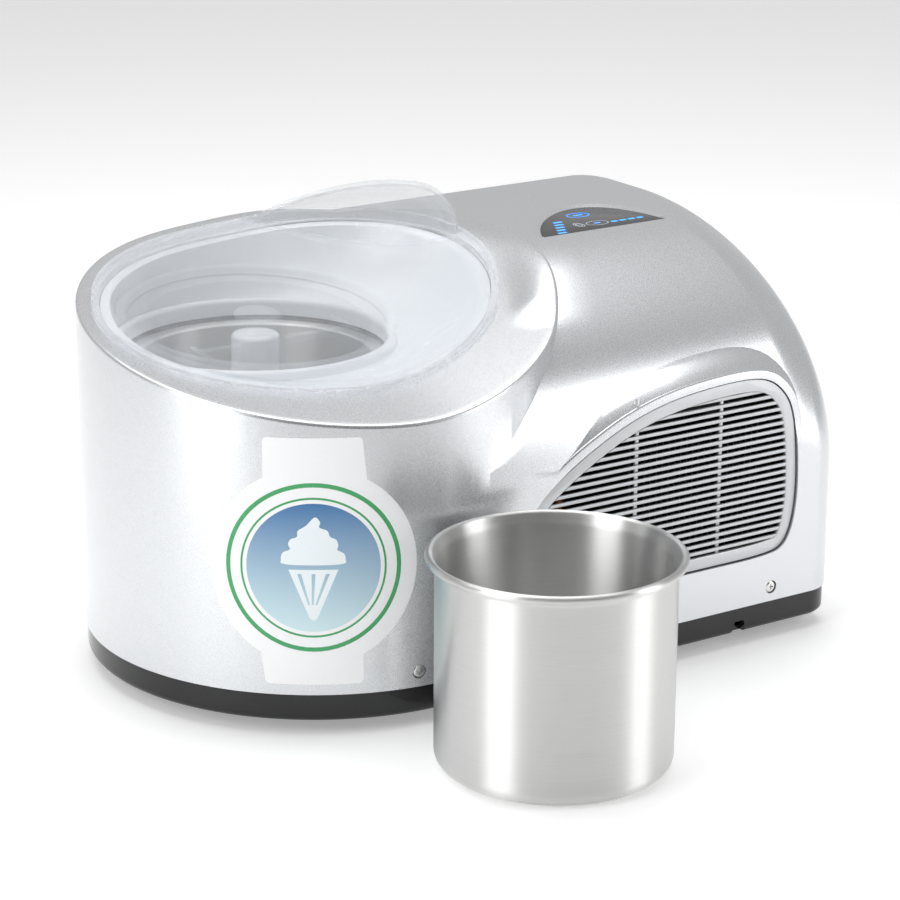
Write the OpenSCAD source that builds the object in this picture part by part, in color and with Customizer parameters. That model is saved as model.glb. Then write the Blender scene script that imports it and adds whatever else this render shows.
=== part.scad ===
// Countertop ice cream maker with a built-in compressor.
// Lengths are millimetres, +Z is up and the feet stand on z = 0.
// X runs along the body from the drum to the condenser end, and +Y is the back.
// The origin is the middle of the footprint of the machine and its second bowl.

/* [Body] */
// Outside radius of the drum, which is half the depth of the machine
drum_r = 142.5; // [138:0.5:175]
// Length of the housing from the drum's axis to its right end
house_len = 293; // [280:1:360]
// Height of the housing's top face
house_h = 240; // [236:1:290]
// Height of the deck on the drum's axis
deck_h = 209.5; // [204:0.5:216]
// Slope of the deck down to the front
deck_tilt = 0.195; // [0.15:0.005:0.2]
// Slope of the deck up to the housing
deck_rise = 0.19; // [0.12:0.01:0.2]
// Height at which the front wall starts to roll back
roll_start_h = 120; // [100:1:135]
// Wall of the moulded casing
casing_wall = 2.6; // [2:0.1:3.4]

/* [Base] */
// Height of the rubber feet below the base
foot_h = 8; // [6:0.5:12]
// Height of the black base band
band_h = 17; // [14:0.5:22]
// Thickness of the base floor
base_floor_t = 3; // [2.5:0.1:4]
// Radius of a rubber foot
foot_r = 9; // [7:0.5:12]

/* [Bowls] */
// Bowl opening's centre, measured from the drum's axis
bowl_x = -33; // [-36:1:-30]
bowl_y = 17.5; // [14:0.5:20]
// Height of the bowl opening's lip
lip_h = 199; // [196:0.5:201]
// Outside radius of the lip
lip_r = 84; // [81:0.5:85]
// Inside radius of the fixed bowl
fixed_bowl_r = 69; // [66:0.5:71]
// Wall of both metal bowls
bowl_wall = 1.2; // [0.8:0.1:2]
// Height of the removable bowl
pail_h = 124; // [105:1:128]
// Radius of the removable bowl's rolled rim
pail_rim_r = 72.5; // [70.5:0.5:74]
// How far in front of the drum the removable bowl stands
pail_gap = 7; // [4:1:60]

/* [Drive] */
// Radius of the paddle's drive shaft
shaft_r = 6; // [5:0.5:7]
// Radius of the large pulley at its belt face
big_pulley_r = 44; // [36:1:48]
// Radius of the motor pulley at its belt face
motor_pulley_r = 11; // [9:0.5:14]
// Motor's place, measured from the drum's axis
motor_x = 103; // [102:1:108]
motor_y = 6; // [-10:1:20]
// Radius of the geared motor's body
motor_r = 30; // [24:1:31]
// Running clearance round turning pieces
run_gap = 0.06; // [0.04:0.01:0.09]

/* [Cooling] */
// Compressor's place and radius
comp_x = 207; // [200:1:215]
comp_y = 62; // [56:1:68]
comp_r = 48; // [42:1:52]
// Compressor's height above its mounts
comp_h = 112; // [96:1:125]
// Radius over the fan blades
fan_r = 46; // [38:1:48]
// Number of fan blades
fan_blades = 7; // [5:1:9]
// Turns of the evaporator tube
coil_turns = 6; // [4:1:8]
// Radius of the evaporator tube
coil_tube_r = 4; // [3:0.5:4.5]

/* [Front grille] */
// Distance from one slat to the next
slat_pitch = 4.5; // [4:0.1:7]
// Height of one slat
slat_h = 2.3; // [1.6:0.1:2.6]

/* [Lid] */
// Half length and half depth of the lid
lid_a = 125; // [122:0.5:127]
lid_b = 109; // [106:0.5:111]
// Thickness of the lid's clear plastic
lid_t = 2.4; // [2:0.1:3]
// Height of the scoop over the filling mouth
scoop_h = 34; // [20:1:40]

/* [Hidden] */

step = 7.5;                      // angle between points round the body
base_top = foot_h + band_h;      // lower edge of the casing
floor_top = foot_h + base_floor_t;
end_len = 23;                    // radius of the right end's upright corners
end_drop = 4;                    // how far the top rounds down at the end
end_taper = 45;                  // length over which the roll deepens to the right end
end_roll_drop = 15;              // how far the start of the roll drops at the end
end_roll_back = 70;              // how far the roll's top moves back at the end
back_fillet = 30;
seam = 3;                        // how far the housing reaches into the drum
lid_x = -7;
lid_y = 12;
pail_y = -(drum_r + pail_gap + pail_rim_r);
pail_x = 16.6;
org_x = (house_len - drum_r) / 2;
org_y = (drum_r + pail_y - pail_rim_r) / 2;
pail_seat = lip_h - 13;          // ledge that the removable bowl's rim rests on
fixed_floor = pail_seat - pail_h + 4 - bowl_wall;
belt_z = floor_top + 5;
belt_h = 8;
belt_t = 1.8;
fan_x = 188;
fan_z = 99;
coil_r = fixed_bowl_r + bowl_wall + coil_tube_r + 0.8;
coil_pitch = 2 * coil_tube_r + 6;
coil_z = fixed_floor + 12;
foam_in = coil_r + coil_tube_r + 0.8;
foam_out = 99;
foam_low = belt_z + belt_h + 10;
foam_top = pail_seat - 12;
silver = [0.84, 0.85, 0.87];
pearl = [0.93, 0.93, 0.94];
black = [0.05, 0.05, 0.06];
steel = [0.75, 0.76, 0.78];
dark = [0.2, 0.2, 0.22];
copper = [0.75, 0.43, 0.28];
clear = [0.8, 0.85, 0.92, 0.4];

// ---------- surfaces ----------

// A rounded ramp that is 0 left of the drum's axis and x to its right
function ramp(x) = 12 * ln(1 + exp(x / 12));
// The lower of two heights, with a rounded change from one to the other
function soft_min(a, b) = -3 * ln(exp(-a / 3) + exp(-b / 3));
function smooth(t) = let (c = min(1, max(0, t))) c * c * (3 - 2 * c);
// Height of the tilted deck
function deck_z(x, y) =
    soft_min(deck_h + deck_tilt * y + deck_rise * ramp(x), house_h + 2.5);
// Height of the housing's rolled top at depth y, before its right end
function roll_z(y) = y < 0
    ? roll_start_h + (house_h - roll_start_h) * sqrt(max(0, 1 - pow(y / drum_r, 2)))
    : house_h;
// Share of the deck that turns into the housing's top at this place
function melt(x, y) =
    let (a = atan2(y, x), r = norm([x, y]))
    smooth((a + 46) / 12) * smooth((75 - a) / 25) * smooth((r - 112) / (drum_r - 112));
function drum_z(x, y) = let (m = melt(x, y)) deck_z(x, y) * (1 - m) + roll_z(y) * m;
function ring(r, z) = [for (a = [0:step:359]) [r * cos(a), r * sin(a), z]];
function drum_ring(r, d) = [for (a = [0:step:359])
    let (x = r * cos(a), y = r * sin(a)) [x, y, drum_z(x, y) - d]];
// An ellipse round the lid's centre, at a height above the deck
function oval(a, b, up) = [for (t = [0:step:359])
    let (x = lid_x + a * cos(t), y = lid_y + b * sin(t)) [x, y, drum_z(x, y) + up]];
function mean(v) = [for (k = [0:len(v[0]) - 1]) sum([for (p = v) p[k]]) / len(v)];
function sum(v, i = 0) = i >= len(v) ? 0 : v[i] + sum(v, i + 1);

// ---------- solids from rings of points ----------

function flat(rings) = [for (r = rings) for (p = r) p];
function band_faces(n, m) = [for (k = [0:m - 2]) for (i = [0:n - 1])
    let (j = (i + 1) % n, a = k * n, b = a + n)
    each [[a + i, b + i, b + j], [a + i, b + j, a + j]]];
// Skins a stack of rings, from the lowest to the highest, and closes both ends
module skin(rings) {
    n = len(rings[0]);
    m = len(rings);
    low = n * m;
    polyhedron(concat(flat(rings), [mean(rings[0]), mean(rings[m - 1])]),
        concat(band_faces(n, m),
            [for (i = [0:n - 1]) [i, (i + 1) % n, low]],
            [for (i = [0:n - 1]) [low - n + (i + 1) % n, low - n + i, low + 1]]),
        convexity = 8);
}
// Skins rings that go up the outside and down the inside, into a closed hoop
module hoop(rings) {
    n = len(rings[0]);
    m = len(rings);
    last = (m - 1) * n;
    polyhedron(flat(rings),
        concat(band_faces(n, m),
            [for (i = [0:n - 1]) let (j = (i + 1) % n)
                each [[last + i, i, j], [last + i, j, last + j]]]),
        convexity = 8);
}
// Sweeps a round tube of n sides along a list of points
module tube(path, r, n = 8) {
    m = len(path);
    dirs = [for (i = [0:m - 1]) unit(path[min(m - 1, i + 1)] - path[max(0, i - 1)])];
    skin([for (i = [0:m - 1])
        let (w = dirs[i],
             s = unit(cross(abs(w[2]) > 0.9 ? [0, 1, 0] : [0, 0, 1], w)),
             t = cross(w, s))
        [for (k = [0:n - 1]) path[i] + r * (cos(360 * k / n) * s + sin(360 * k / n) * t)]]);
}
function unit(v) = v / norm(v);
// Points along straight runs with the corners rounded by radius r
function bent(pts, r, n = 4) = concat([pts[0]],
    [for (i = [1:len(pts) - 2])
        let (a = pts[i] + r * unit(pts[i - 1] - pts[i]), b = pts[i] + r * unit(pts[i + 1] - pts[i]))
        for (k = [0:n]) let (t = k / n)
            a * pow(1 - t, 2) + pts[i] * 2 * t * (1 - t) + b * t * t],
    [pts[len(pts) - 1]]);

// ---------- body ----------

module at_drum() translate([-org_x, -org_y, 0]) children();

// Outline of the whole body on the table, drawn in by d
module plan(d) {
    circle(r = drum_r - d, $fn = 96);
    translate([0, -drum_r + d]) square([house_len - end_len, 2 * (drum_r - d)]);
    translate([0, -drum_r + end_len]) square([house_len - d, 2 * (drum_r - end_len)]);
    for (s = [-1, 1]) translate([house_len - end_len, s * (drum_r - end_len)])
        circle(r = end_len - d, $fn = 48);
}

// The drum with its tilted deck, drawn in by d
module drum_solid(d, low) {
    r = drum_r - d;
    skin(concat([ring(r, low)],
        [for (k = [0, 0.06, 0.14, 0.18, 0.22, 0.32, 0.5, 0.75]) drum_ring(r * (1 - k), d)]));
}

// One closed loop of the housing's side view, at a place x; s runs from 0 to 1 over the
// rounded end
function house_loop(x, s, d, low) =
    let (w = smooth((x - house_len + end_taper) / end_taper),
         half = drum_r - d - (end_len - d) * s,
         mid = end_roll_back * w,
         zc = roll_start_h - end_roll_drop * w,
         top = house_h - d - end_drop * s,
         f = min(back_fillet, (top - low) / 2),
         back = [for (a = [0:18:90]) [half - f * (1 - cos(a)), top - f * (1 - sin(a))]],
         over = [for (t = [0.7, 0.4]) [mid + (half - f - mid) * t, top]],
         front = [for (a = [0:7.5:90]) [mid - (half + mid) * sin(a), zc + (top - zc) * cos(a)]])
    concat([[-half, low], [half, low]], back, over, front);

// The housing right of the drum, drawn in by d
module house_solid(d, low) {
    reach = drum_r - d - seam;
    taper = house_len - end_taper;
    x0 = house_len - end_len;
    function inner_x(y) = sqrt(max(1, reach * reach - y * y));
    skin(concat(
        [for (f = [0, 0.35, 0.7, 1]) [for (p = house_loop(0, 0, d, low))
            let (x = inner_x(p[0]) * (1 - f) + taper * f)
            [x, p[0], f > 0 ? p[1] : min(p[1], max(low, drum_z(x, p[0]) - d - 1))]]],
        [for (f = [0.35, 0.7]) let (x = taper * (1 - f) + x0 * f)
            [for (p = house_loop(x, 0, d, low)) [x, p[0], p[1]]]],
        [for (a = [0:15:90]) let (x = x0 + (end_len - d) * sin(a))
            [for (p = house_loop(x, 1 - cos(a), d, low)) [x, p[0], p[1]]]]));
}

// Outline of the grille's hood on the front wall, from its left corner over the top
hood_line = [[38, 84], [44, 102], [58, 124], [76, 138], [98, 151], [124, 163], [152, 171],
             [182, 175], [214, 176], [234, 172], [248, 161], [256, 146], [260, 122], [261, 92],
             [257, 68], [247, 54], [228, 50], [70, 50], [50, 58], [40, 70]];
// Draws an outline in by d
function shrunk(line, d) = let (n = len(line)) [for (i = [0:n - 1])
    let (t = unit(line[(i + 1) % n] - line[(i + n - 1) % n])) line[i] + d * [t[1], -t[0]]];
module hood_solid(d) {
    front = -drum_r + 1.2;
    rows = [[0, d], [8, d - 4], [20, d - 9], [45, d - 9]];
    skin([for (r = rows) let (y = front + r[0] + (r[0] == 0 ? d : 0))
        [for (p = shrunk(hood_line, r[1])) [p[0], y, p[1]]]]);
}

// Straight front edge and an arch leaning right: the touch glass on the top face
glass_left = 154;
glass_right = 248;
glass_front = -14;
glass_arch = 55;
glass_t = 4;
glass_z = house_h - 4.8;
function bezier(a, b, c, d, t) =
    a * pow(1 - t, 3) + 3 * b * t * pow(1 - t, 2) + 3 * c * t * t * (1 - t) + d * pow(t, 3);
function glass_line(d) = shrunk([for (t = [0:0.05:1]) bezier(
    [glass_left, glass_front], [glass_left + 24, glass_front + glass_arch - 3],
    [glass_right - 4, glass_front + glass_arch + 37], [glass_right, glass_front], t)], d);
module glass_prism(gap, z0, z1)
    translate([0, 0, z0]) linear_extrude(z1 - z0) polygon(glass_line(-gap));
// The hole that the glass lies in, wider all round, at its corners too
module glass_hole(gap) {
    glass_prism(gap, house_h - 20, house_h + 20);
    for (x = [-1, 0, 1]) translate([x * gap, -gap, 0]) glass_prism(0, house_h - 20, house_h + 20);
}

// Places of the round screw caps, each facing out of the wall
screw_r = 4;
screw_z = 34;
screw_x = 237.5;
screw_turn = 98;
module screw_places() {
    for (s = [-1, 1]) {
        translate([screw_x, s * drum_r, screw_z]) rotate([-90 * s, 0, 0]) children();
        rotate([0, 0, s * screw_turn]) translate([drum_r, 0, screw_z]) rotate([0, 90, 0]) children();
        translate([house_len, s * 60, screw_z]) rotate([0, 90, 0]) children();
    }
}

module panel_prism(gap, y, depth)
    translate([0, y + depth, 0]) rotate([90, 0, 0])
        linear_extrude(depth) polygon(shrunk(hood_line, 6 - gap));
module surround_hole()
    linear_extrude(400) polygon([for (p = oval(lid_a - 5, lid_b - 5, 0)) [p[0], p[1]]]);

vent_x = 150;
vent_w = 94;
vent_z = 66;
vent_h = 84;
inlet_x = 108;
inlet_z = 58;
inlet_w = 28;
inlet_h = 20.5;
module back_box(x, w, z, h, y0, y1)
    translate([x, y0, z]) cube([w, y1 - y0, h]);

module casing() color(silver) at_drum() difference() {
    union() {
        drum_solid(0, base_top);
        house_solid(0, base_top);
        hood_solid(0);
    }
    drum_solid(casing_wall, base_top - 1);
    house_solid(casing_wall, base_top - 1);
    panel_prism(0.4, -drum_r - 2, 70);
    surround_hole();
    glass_hole(0.3);
    back_box(vent_x - 0.3, vent_w + 0.6, vent_z - 0.3, vent_h + 0.6, drum_r - 8, drum_r + 8);
    back_box(inlet_x - 0.2, inlet_w + 0.4, inlet_z - 0.2, inlet_h + 0.4, drum_r - 8, drum_r + 8);
    screw_places() cylinder(h = 14, r = screw_r + 0.2, center = true, $fn = 32);
}

// Black tray under the casing, with a lip that the casing's screws go into
lip_t = 2.4;
lip_gap = casing_wall + 0.8;
lip_top = base_top + 17;
module base_pan() color(black) at_drum() difference() {
    union() {
        translate([0, 0, foot_h]) linear_extrude(3.01) plan(4.5);
        translate([0, 0, foot_h + 3]) linear_extrude(band_h - 3) plan(1);
        translate([0, 0, base_top - 1]) linear_extrude(lip_top - base_top + 1) plan(lip_gap);
    }
    translate([0, 0, floor_top]) linear_extrude(100) plan(lip_gap + lip_t);
    screw_places() cylinder(h = 30, r = 1.55, center = true, $fn = 24);
    // finger notch in the front edge
    translate([214, -drum_r - 1, foot_h + 4]) rotate([-90, 0, 0])
        linear_extrude(6) polygon([[-6, -4], [6, -4], [3.5, 4.1], [-3.5, 4.1]]);
    // air slots under the compressor
    for (i = [0:4]) translate([comp_x - 36 + 14 * i, comp_y - 36, foot_h - 1])
        cube([5, 62, base_floor_t + 2]);
}

foot_x = 250;
foot_y = 104;
module foot_places() for (s = [-1, 1]) {
    translate([-74, s * 84, 0]) children();
    translate([foot_x, s * foot_y, 0]) children();
}
module rubber_feet() color(dark) at_drum() foot_places() rotate_extrude($fn = 48)
    polygon([[0, 0], [foot_r - 3, 0], [foot_r - 1, 1], [foot_r, 3], [foot_r, foot_h - 1.5],
             [foot_r + 1.5, foot_h - 1.5], [foot_r + 1.5, foot_h], [0, foot_h]]);

module case_screws() color(steel) at_drum() screw_places() difference() {
    union() {
        translate([0, 0, -casing_wall - 0.7]) cylinder(h = casing_wall + 0.7, r = screw_r, $fn = 48);
        translate([0, 0, -12]) cylinder(h = 10, r = 1.5, $fn = 24);
    }
    for (a = [0, 90]) rotate([0, 0, a]) translate([-2, -0.4, -1]) cube([4, 0.8, 2]);
}

// Thin die-cut label wrapped on the drum
label_z = 101.5;
label_turn = -122.7;
label_t = 0.35;
module label() color("white") at_drum() intersection() {
    difference() {
        cylinder(h = 300, r = drum_r + label_t, $fn = 96);
        translate([0, 0, -1]) cylinder(h = 302, r = drum_r + 0.05, $fn = 96);
    }
    rotate([0, 0, label_turn]) translate([0, 0, label_z]) rotate([90, 0, 90])
        linear_extrude(200) union() {
            circle(r = 59.5, $fn = 96);
            translate([-28, -70]) square([56, 146]);
        }
}

// Panel with horizontal slats in front of the condenser
panel_t = 3;
grille_posts = [132, 195];
module front_grille() color(silver) at_drum() {
    y = -drum_r + 1.6;
    low = 56;
    difference() {
        panel_prism(0, y, panel_t);
        translate([0, y + panel_t + 1, 0]) rotate([90, 0, 0])
            linear_extrude(panel_t + 2) polygon(shrunk(hood_line, 14.5));
    }
    intersection() {
        translate([0, y + panel_t, 0]) rotate([90, 0, 0])
            linear_extrude(panel_t) polygon(shrunk(hood_line, 14));
        union() {
            for (z = [low:slat_pitch:house_h]) translate([30, y + 0.4, z])
                cube([240, panel_t - 0.4, slat_h]);
            for (x = grille_posts) translate([x, y + 0.8, low])
                cube([2.5, panel_t - 0.8, 130]);
        }
    }
}

module rear_grille() color(black) at_drum() difference() {
    union() {
        back_box(vent_x, vent_w, vent_z, vent_h, drum_r - 6, drum_r - 0.3);
        back_box(vent_x - 4, vent_w + 8, vent_z - 4, vent_h + 8, drum_r - 6, drum_r - casing_wall - 0.2);
    }
    for (z = [vent_z + 5:8:vent_z + vent_h - 8])
        back_box(vent_x + 6, vent_w / 2 - 9, z, 4.5, drum_r - 10, drum_r + 10);
    for (z = [vent_z + 5:8:vent_z + vent_h - 8])
        back_box(vent_x + vent_w / 2 + 3, vent_w / 2 - 9, z, 4.5, drum_r - 10, drum_r + 10);
}

module inlet_socket() color(black) at_drum() {
    difference() {
        union() {
            back_box(inlet_x, inlet_w, inlet_z, inlet_h, drum_r - 24, drum_r - 0.2);
            back_box(inlet_x - 4, inlet_w + 8, inlet_z - 4, inlet_h + 8,
            drum_r - 8, drum_r - casing_wall - 0.2);
        }
        back_box(inlet_x + 2, inlet_w - 4, inlet_z + 2, inlet_h - 4, drum_r - 16, drum_r + 1);
    }
    for (i = [-1, 0, 1]) back_box(inlet_x + inlet_w / 2 + 7 * i - 1, 2,
        inlet_z + inlet_h / 2 - 2, 4, drum_r - 17, drum_r - 7);
}

module control_glass() color(black) at_drum() {
    glass_prism(0, glass_z - 0.1, house_h);
    glass_prism(3, glass_z - 2.4, glass_z);
}
board_z = glass_z - 8;
module control_board() color([0.1, 0.35, 0.2]) at_drum() {
    glass_prism(-2, board_z, board_z + 1.6);
    translate([186, 0, board_z - 3]) cube([14, 14, 3.01]);
    translate([215, 4, board_z - 2.5]) cube([10, 8, 2.51]);
}
// Light guides between the board and the glass
module light(x, y, w, h) translate([x, y, board_z + 1.6]) cube([w, h, glass_z - 2.4 - board_z - 1.6]);
module control_lights() color([0.3, 0.6, 1]) at_drum() {
    for (i = [0:4]) light(172 + 3.2 * i, -10 + 5 * i, 5, 1.8);
    for (i = [0:3]) light(216 + 6 * i, -3 - 0.4 * i, 4, 2);
    light(205, 22, 9, 2);
    light(195, 2, 9, 2);
}

module power_board() color([0.1, 0.35, 0.2]) at_drum() {
    y = 112;
    translate([64, y, floor_top]) cube([82, 1.6, 66]);
    translate([70, y - 22, floor_top + 8]) cube([30, 22.01, 26]);
    for (x = [112, 130]) translate([x, y + 0.01, floor_top + 20]) rotate([90, 0, 0])
        cylinder(h = 22, r = 7, $fn = 32);
    translate([108, y - 12, floor_top + 40]) cube([30, 12.01, 18]);
}

// ---------- bowl, seal and cooling round it ----------

module at_bowl() at_drum() translate([bowl_x, bowl_y, 0]) children();
function disc(r, z) = [for (a = [0:step:359]) [bowl_x + r * cos(a), bowl_y + r * sin(a), z]];
dish_z = lip_h - 6;
// Ring of the dish between the casing's hole, f = 0, and the bowl's lip, f = 1
function dish_ring(f, drop) =
    let (a = oval(lid_a - 11, lid_b - 11, -0.6), b = disc(lip_r + 2, dish_z), g = 1 - pow(1 - f, 2.2))
    [for (i = [0:len(a) - 1]) [
        a[i][0] * (1 - f) + b[i][0] * f, a[i][1] * (1 - f) + b[i][1] * f,
        a[i][2] * (1 - g) + b[i][2] * g - drop]];
gasket_t = 3;
module bowl_surround() color(pearl) at_drum() {
    low = pail_seat + gasket_t;
    neck = lip_r - 2;
    hoop(concat(
        [disc(neck, low), disc(neck, dish_z - 3)],
        [for (f = [0.85, 0.6, 0.35, 0.15, 0]) dish_ring(f, 2.4)],
        [oval(lid_a - 5.4, lid_b - 5.4, -casing_wall), oval(lid_a - 5.4, lid_b - 5.4, -0.3)],
        [for (f = [0, 0.15, 0.35, 0.6, 0.85, 1]) dish_ring(f, 0)],
        [disc(lip_r, lip_h - 3.5), disc(lip_r - 0.9, lip_h - 1), disc(lip_r - 3, lip_h),
         disc(lip_r - 5.1, lip_h - 1), disc(lip_r - 6, lip_h - 3.5), disc(lip_r - 6, low)]));
}
module surround_gasket() color(dark) at_bowl() translate([0, 0, pail_seat]) difference() {
    cylinder(h = gasket_t, r = lip_r - 2, $fn = 96);
    translate([0, 0, -1]) cylinder(h = gasket_t + 2, r = lip_r - 6, $fn = 96);
}

// Wall of a round bowl from a list of outer points, bored out by its thickness
function corner(r, rc, z) = [for (a = [-90:15:0]) [r - rc + rc * cos(a), z + rc + rc * sin(a)]];
fixed_tube_r = shaft_r + 2.4;
fixed_tube_top = fixed_floor + 90;
module fixed_bowl() color(steel) at_bowl() rotate_extrude($fn = 96) {
    r = fixed_bowl_r + bowl_wall;
    z = fixed_floor;
    t = bowl_wall;
    polygon(concat([[shaft_r + 1.2, z]], corner(r, 12, z),
        [[r, pail_seat - t], [lip_r - 2, pail_seat - t], [lip_r - 2, pail_seat], [r - t, pail_seat]],
        [for (a = [0:-15:-90]) [r - 12 + (12 - t) * cos(a), z + 12 + (12 - t) * sin(a)]],
        [[fixed_tube_r, z + t], [fixed_tube_r, fixed_tube_top], [shaft_r + 1.2, fixed_tube_top]]));
}

module evaporator_coil() color(copper) at_bowl() {
    n = 30;
    tube([for (i = [0:n * coil_turns]) [coil_r * cos(360 * i / n), coil_r * sin(360 * i / n),
        coil_z + coil_pitch * i / n]], coil_tube_r);
}
coil_end = [bowl_x + coil_r, bowl_y, coil_z + coil_pitch * coil_turns];
coil_start = [bowl_x + coil_r, bowl_y, coil_z];

// Foam round the bowl and coil, open at the top
module foam_jacket() color([0.95, 0.9, 0.7]) difference() {
    at_bowl() difference() {
        translate([0, 0, foam_low]) cylinder(h = foam_top - foam_low, r = foam_out, $fn = 96);
        translate([0, 0, fixed_floor - 0.3]) cylinder(h = 200, r = foam_in, $fn = 96);
        translate([0, 0, foam_low - 1]) cylinder(h = 100, r = housing_r + 0.3, $fn = 64);
    }
    at_drum() for (p = [coil_end, coil_start]) translate([p[0], p[1] - 6, p[2]])
        rotate([0, 90, 0]) cylinder(h = 80, r = 5, $fn = 32);
}

// ---------- drive ----------

bearing_r = 11;
housing_r = 16;
plate_z = belt_z + belt_h + 4;
module bearing_housing() color(dark) at_bowl() difference() {
    union() {
        translate([0, 0, plate_z]) cylinder(h = foam_low - plate_z, r = 96, $fn = 96);
        translate([0, 0, plate_z]) cylinder(h = fixed_floor - 0.5 - plate_z, r = housing_r, $fn = 64);
        for (a = [45:90:315]) rotate([0, 0, a]) translate([84, 0, floor_top])
            cylinder(h = plate_z - floor_top + 1, r = 6, $fn = 32);
    }
    translate([0, 0, plate_z - 1]) cylinder(h = 100, r = bearing_r, $fn = 64);
}
module race(z) at_bowl() translate([0, 0, z]) difference() {
    cylinder(h = 7, r = bearing_r, $fn = 64);
    translate([0, 0, -1]) cylinder(h = 9, r = shaft_r + run_gap, $fn = 64);
    for (s = [-0.5, 6.5]) translate([0, 0, s]) difference() {
        cylinder(h = 1, r = bearing_r - 1.4, $fn = 64);
        translate([0, 0, -1]) cylinder(h = 3, r = shaft_r + 1.2, $fn = 64);
    }
}
module lower_bearing() color(steel) race(plate_z + 1);
module upper_bearing() color(steel) race(fixed_floor - 16);
module shaft_seal() color(dark) at_bowl() translate([0, 0, fixed_floor - 7]) difference() {
    cylinder(h = 6, r = bearing_r, $fn = 64);
    translate([0, 0, -1]) cylinder(h = 8, r = shaft_r + run_gap, $fn = 64);
}
shaft_low = floor_top + 2;
shaft_top = fixed_tube_top + 20;
module drive_shaft() color(steel) at_bowl() translate([0, 0, shaft_low]) difference() {
    cylinder(h = shaft_top - shaft_low, r = shaft_r, $fn = 64);
    // flat that turns the paddle
    translate([shaft_r - 1.5, -shaft_r, shaft_top - shaft_low - 10]) cube([4, 2 * shaft_r, 12]);
}
module pulley(r, bore) translate([0, 0, belt_z - 1]) difference() {
    union() {
        cylinder(h = belt_h + 2, r = r, $fn = 96);
        for (z = [0, belt_h + 1.2]) translate([0, 0, z]) cylinder(h = 0.8, r = r + 2.5, $fn = 96);
    }
    translate([0, 0, -1]) cylinder(h = belt_h + 4, r = bore, $fn = 64);
}
module large_pulley() color(dark) at_bowl() difference() {
    pulley(big_pulley_r, shaft_r);
    for (a = [0:60:300]) rotate([0, 0, a]) translate([big_pulley_r * 0.55, 0, belt_z - 3])
        cylinder(h = belt_h + 6, r = big_pulley_r * 0.18, $fn = 48);
}
module at_motor() at_drum() translate([motor_x, motor_y, 0]) children();
motor_shaft_r = 4;
module motor_pulley() color(dark) at_motor() pulley(motor_pulley_r, motor_shaft_r);
belt_dx = motor_x - bowl_x;
belt_dy = motor_y - bowl_y;
belt_len = norm([belt_dx, belt_dy]);
// Outline of a belt that runs g outside both pulley faces
function belt_line(g) = let (b = asin((big_pulley_r - motor_pulley_r) / belt_len),
    r1 = big_pulley_r + g, r2 = motor_pulley_r + g, n = 36, m = 12) concat(
    [for (i = [0:n]) let (a = 90 - b + (180 + 2 * b) * i / n) [r1 * cos(a), r1 * sin(a)]],
    [for (i = [0:m]) let (a = b - 90 + (180 - 2 * b) * i / m) [belt_len + r2 * cos(a), r2 * sin(a)]]);
module drive_belt() color(dark) at_bowl() rotate([0, 0, atan2(belt_dy, belt_dx)])
    translate([0, 0, belt_z + 0.6]) linear_extrude(belt_h - 1.2) difference() {
        polygon(belt_line(0.35 + belt_t));
        polygon(belt_line(0.35));
    }
motor_low = plate_z + 8;
motor_h = 84;
module motor_body() color(steel) at_motor() difference() {
    union() {
        translate([0, 0, motor_low]) cylinder(h = 22, r = motor_r, $fn = 96);
        translate([0, 0, motor_low + 21]) cylinder(h = motor_h - 21, r = motor_r - 4, $fn = 96);
        translate([0, 0, motor_low + motor_h - 1]) cylinder(h = 5, r = 10, $fn = 48);
    }
    translate([0, 0, motor_low - 1]) cylinder(h = 32, r = motor_shaft_r + run_gap, $fn = 48);
}
module motor_bracket() color(dark) at_motor() {
    translate([0, 0, motor_low - 3]) difference() {
        translate([-motor_r - 6, -motor_r - 7, 0]) cube([2 * motor_r + 12, 2 * motor_r + 14, 3]);
        translate([0, 0, -1]) cylinder(h = 5, r = 9, $fn = 48);
    }
    for (x = [-1, 1]) for (y = [-1, 1]) translate([x * (motor_r + 2), y * (motor_r + 2), floor_top])
        cylinder(h = motor_low - 3 - floor_top + 0.01, r = 4, $fn = 32);
}
module motor_shaft() color(steel) at_motor() translate([0, 0, shaft_low])
    cylinder(h = motor_low + 28 - shaft_low, r = motor_shaft_r, $fn = 48);

// ---------- cooling ----------

comp_z = floor_top + 10;
module at_comp() at_drum() translate([comp_x, comp_y, 0]) children();
module lug_places() for (a = [45:90:315]) rotate([0, 0, a]) translate([comp_r + 6, 0, 0]) children();
module compressor() color([0.12, 0.12, 0.13]) at_comp() {
    rotate_extrude($fn = 72) {
        z = comp_z + 2;
        h = comp_h;
        polygon(concat([[0, z]], corner(comp_r - 2, 20, z),
            [[comp_r - 2, z + h * 0.5], [comp_r + 2, z + h * 0.5], [comp_r + 2, z + h * 0.54],
             [comp_r, z + h * 0.54]],
            [for (a = [0:10:90]) [comp_r - 34 + 34 * cos(a), z + h - 34 + 34 * sin(a)]],
            [[0, z + h]]));
    }
    difference() {
        union() {
            translate([0, 0, comp_z]) cylinder(h = 4, r = comp_r - 14, $fn = 64);
            for (a = [45, 135]) rotate([0, 0, a]) translate([-comp_r - 14, -9, comp_z])
                cube([2 * comp_r + 28, 18, 3]);
        }
        lug_places() translate([0, 0, comp_z - 1]) cylinder(h = 6, r = 4, $fn = 32);
    }
}
module compressor_feet() color(dark) at_comp() lug_places() {
    translate([0, 0, floor_top]) difference() {
        cylinder(h = comp_z - floor_top, r = 7.5, $fn = 48);
        translate([0, 0, -1]) cylinder(h = 20, r = 2.5, $fn = 24);
    }
}
module compressor_terminals() color(black) at_comp()
    translate([comp_r + 2.3, -15, comp_z + 24]) difference() {
        cube([14, 30, 38]);
        translate([-1, 3, 3]) cube([12, 24, 32]);
    }

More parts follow.
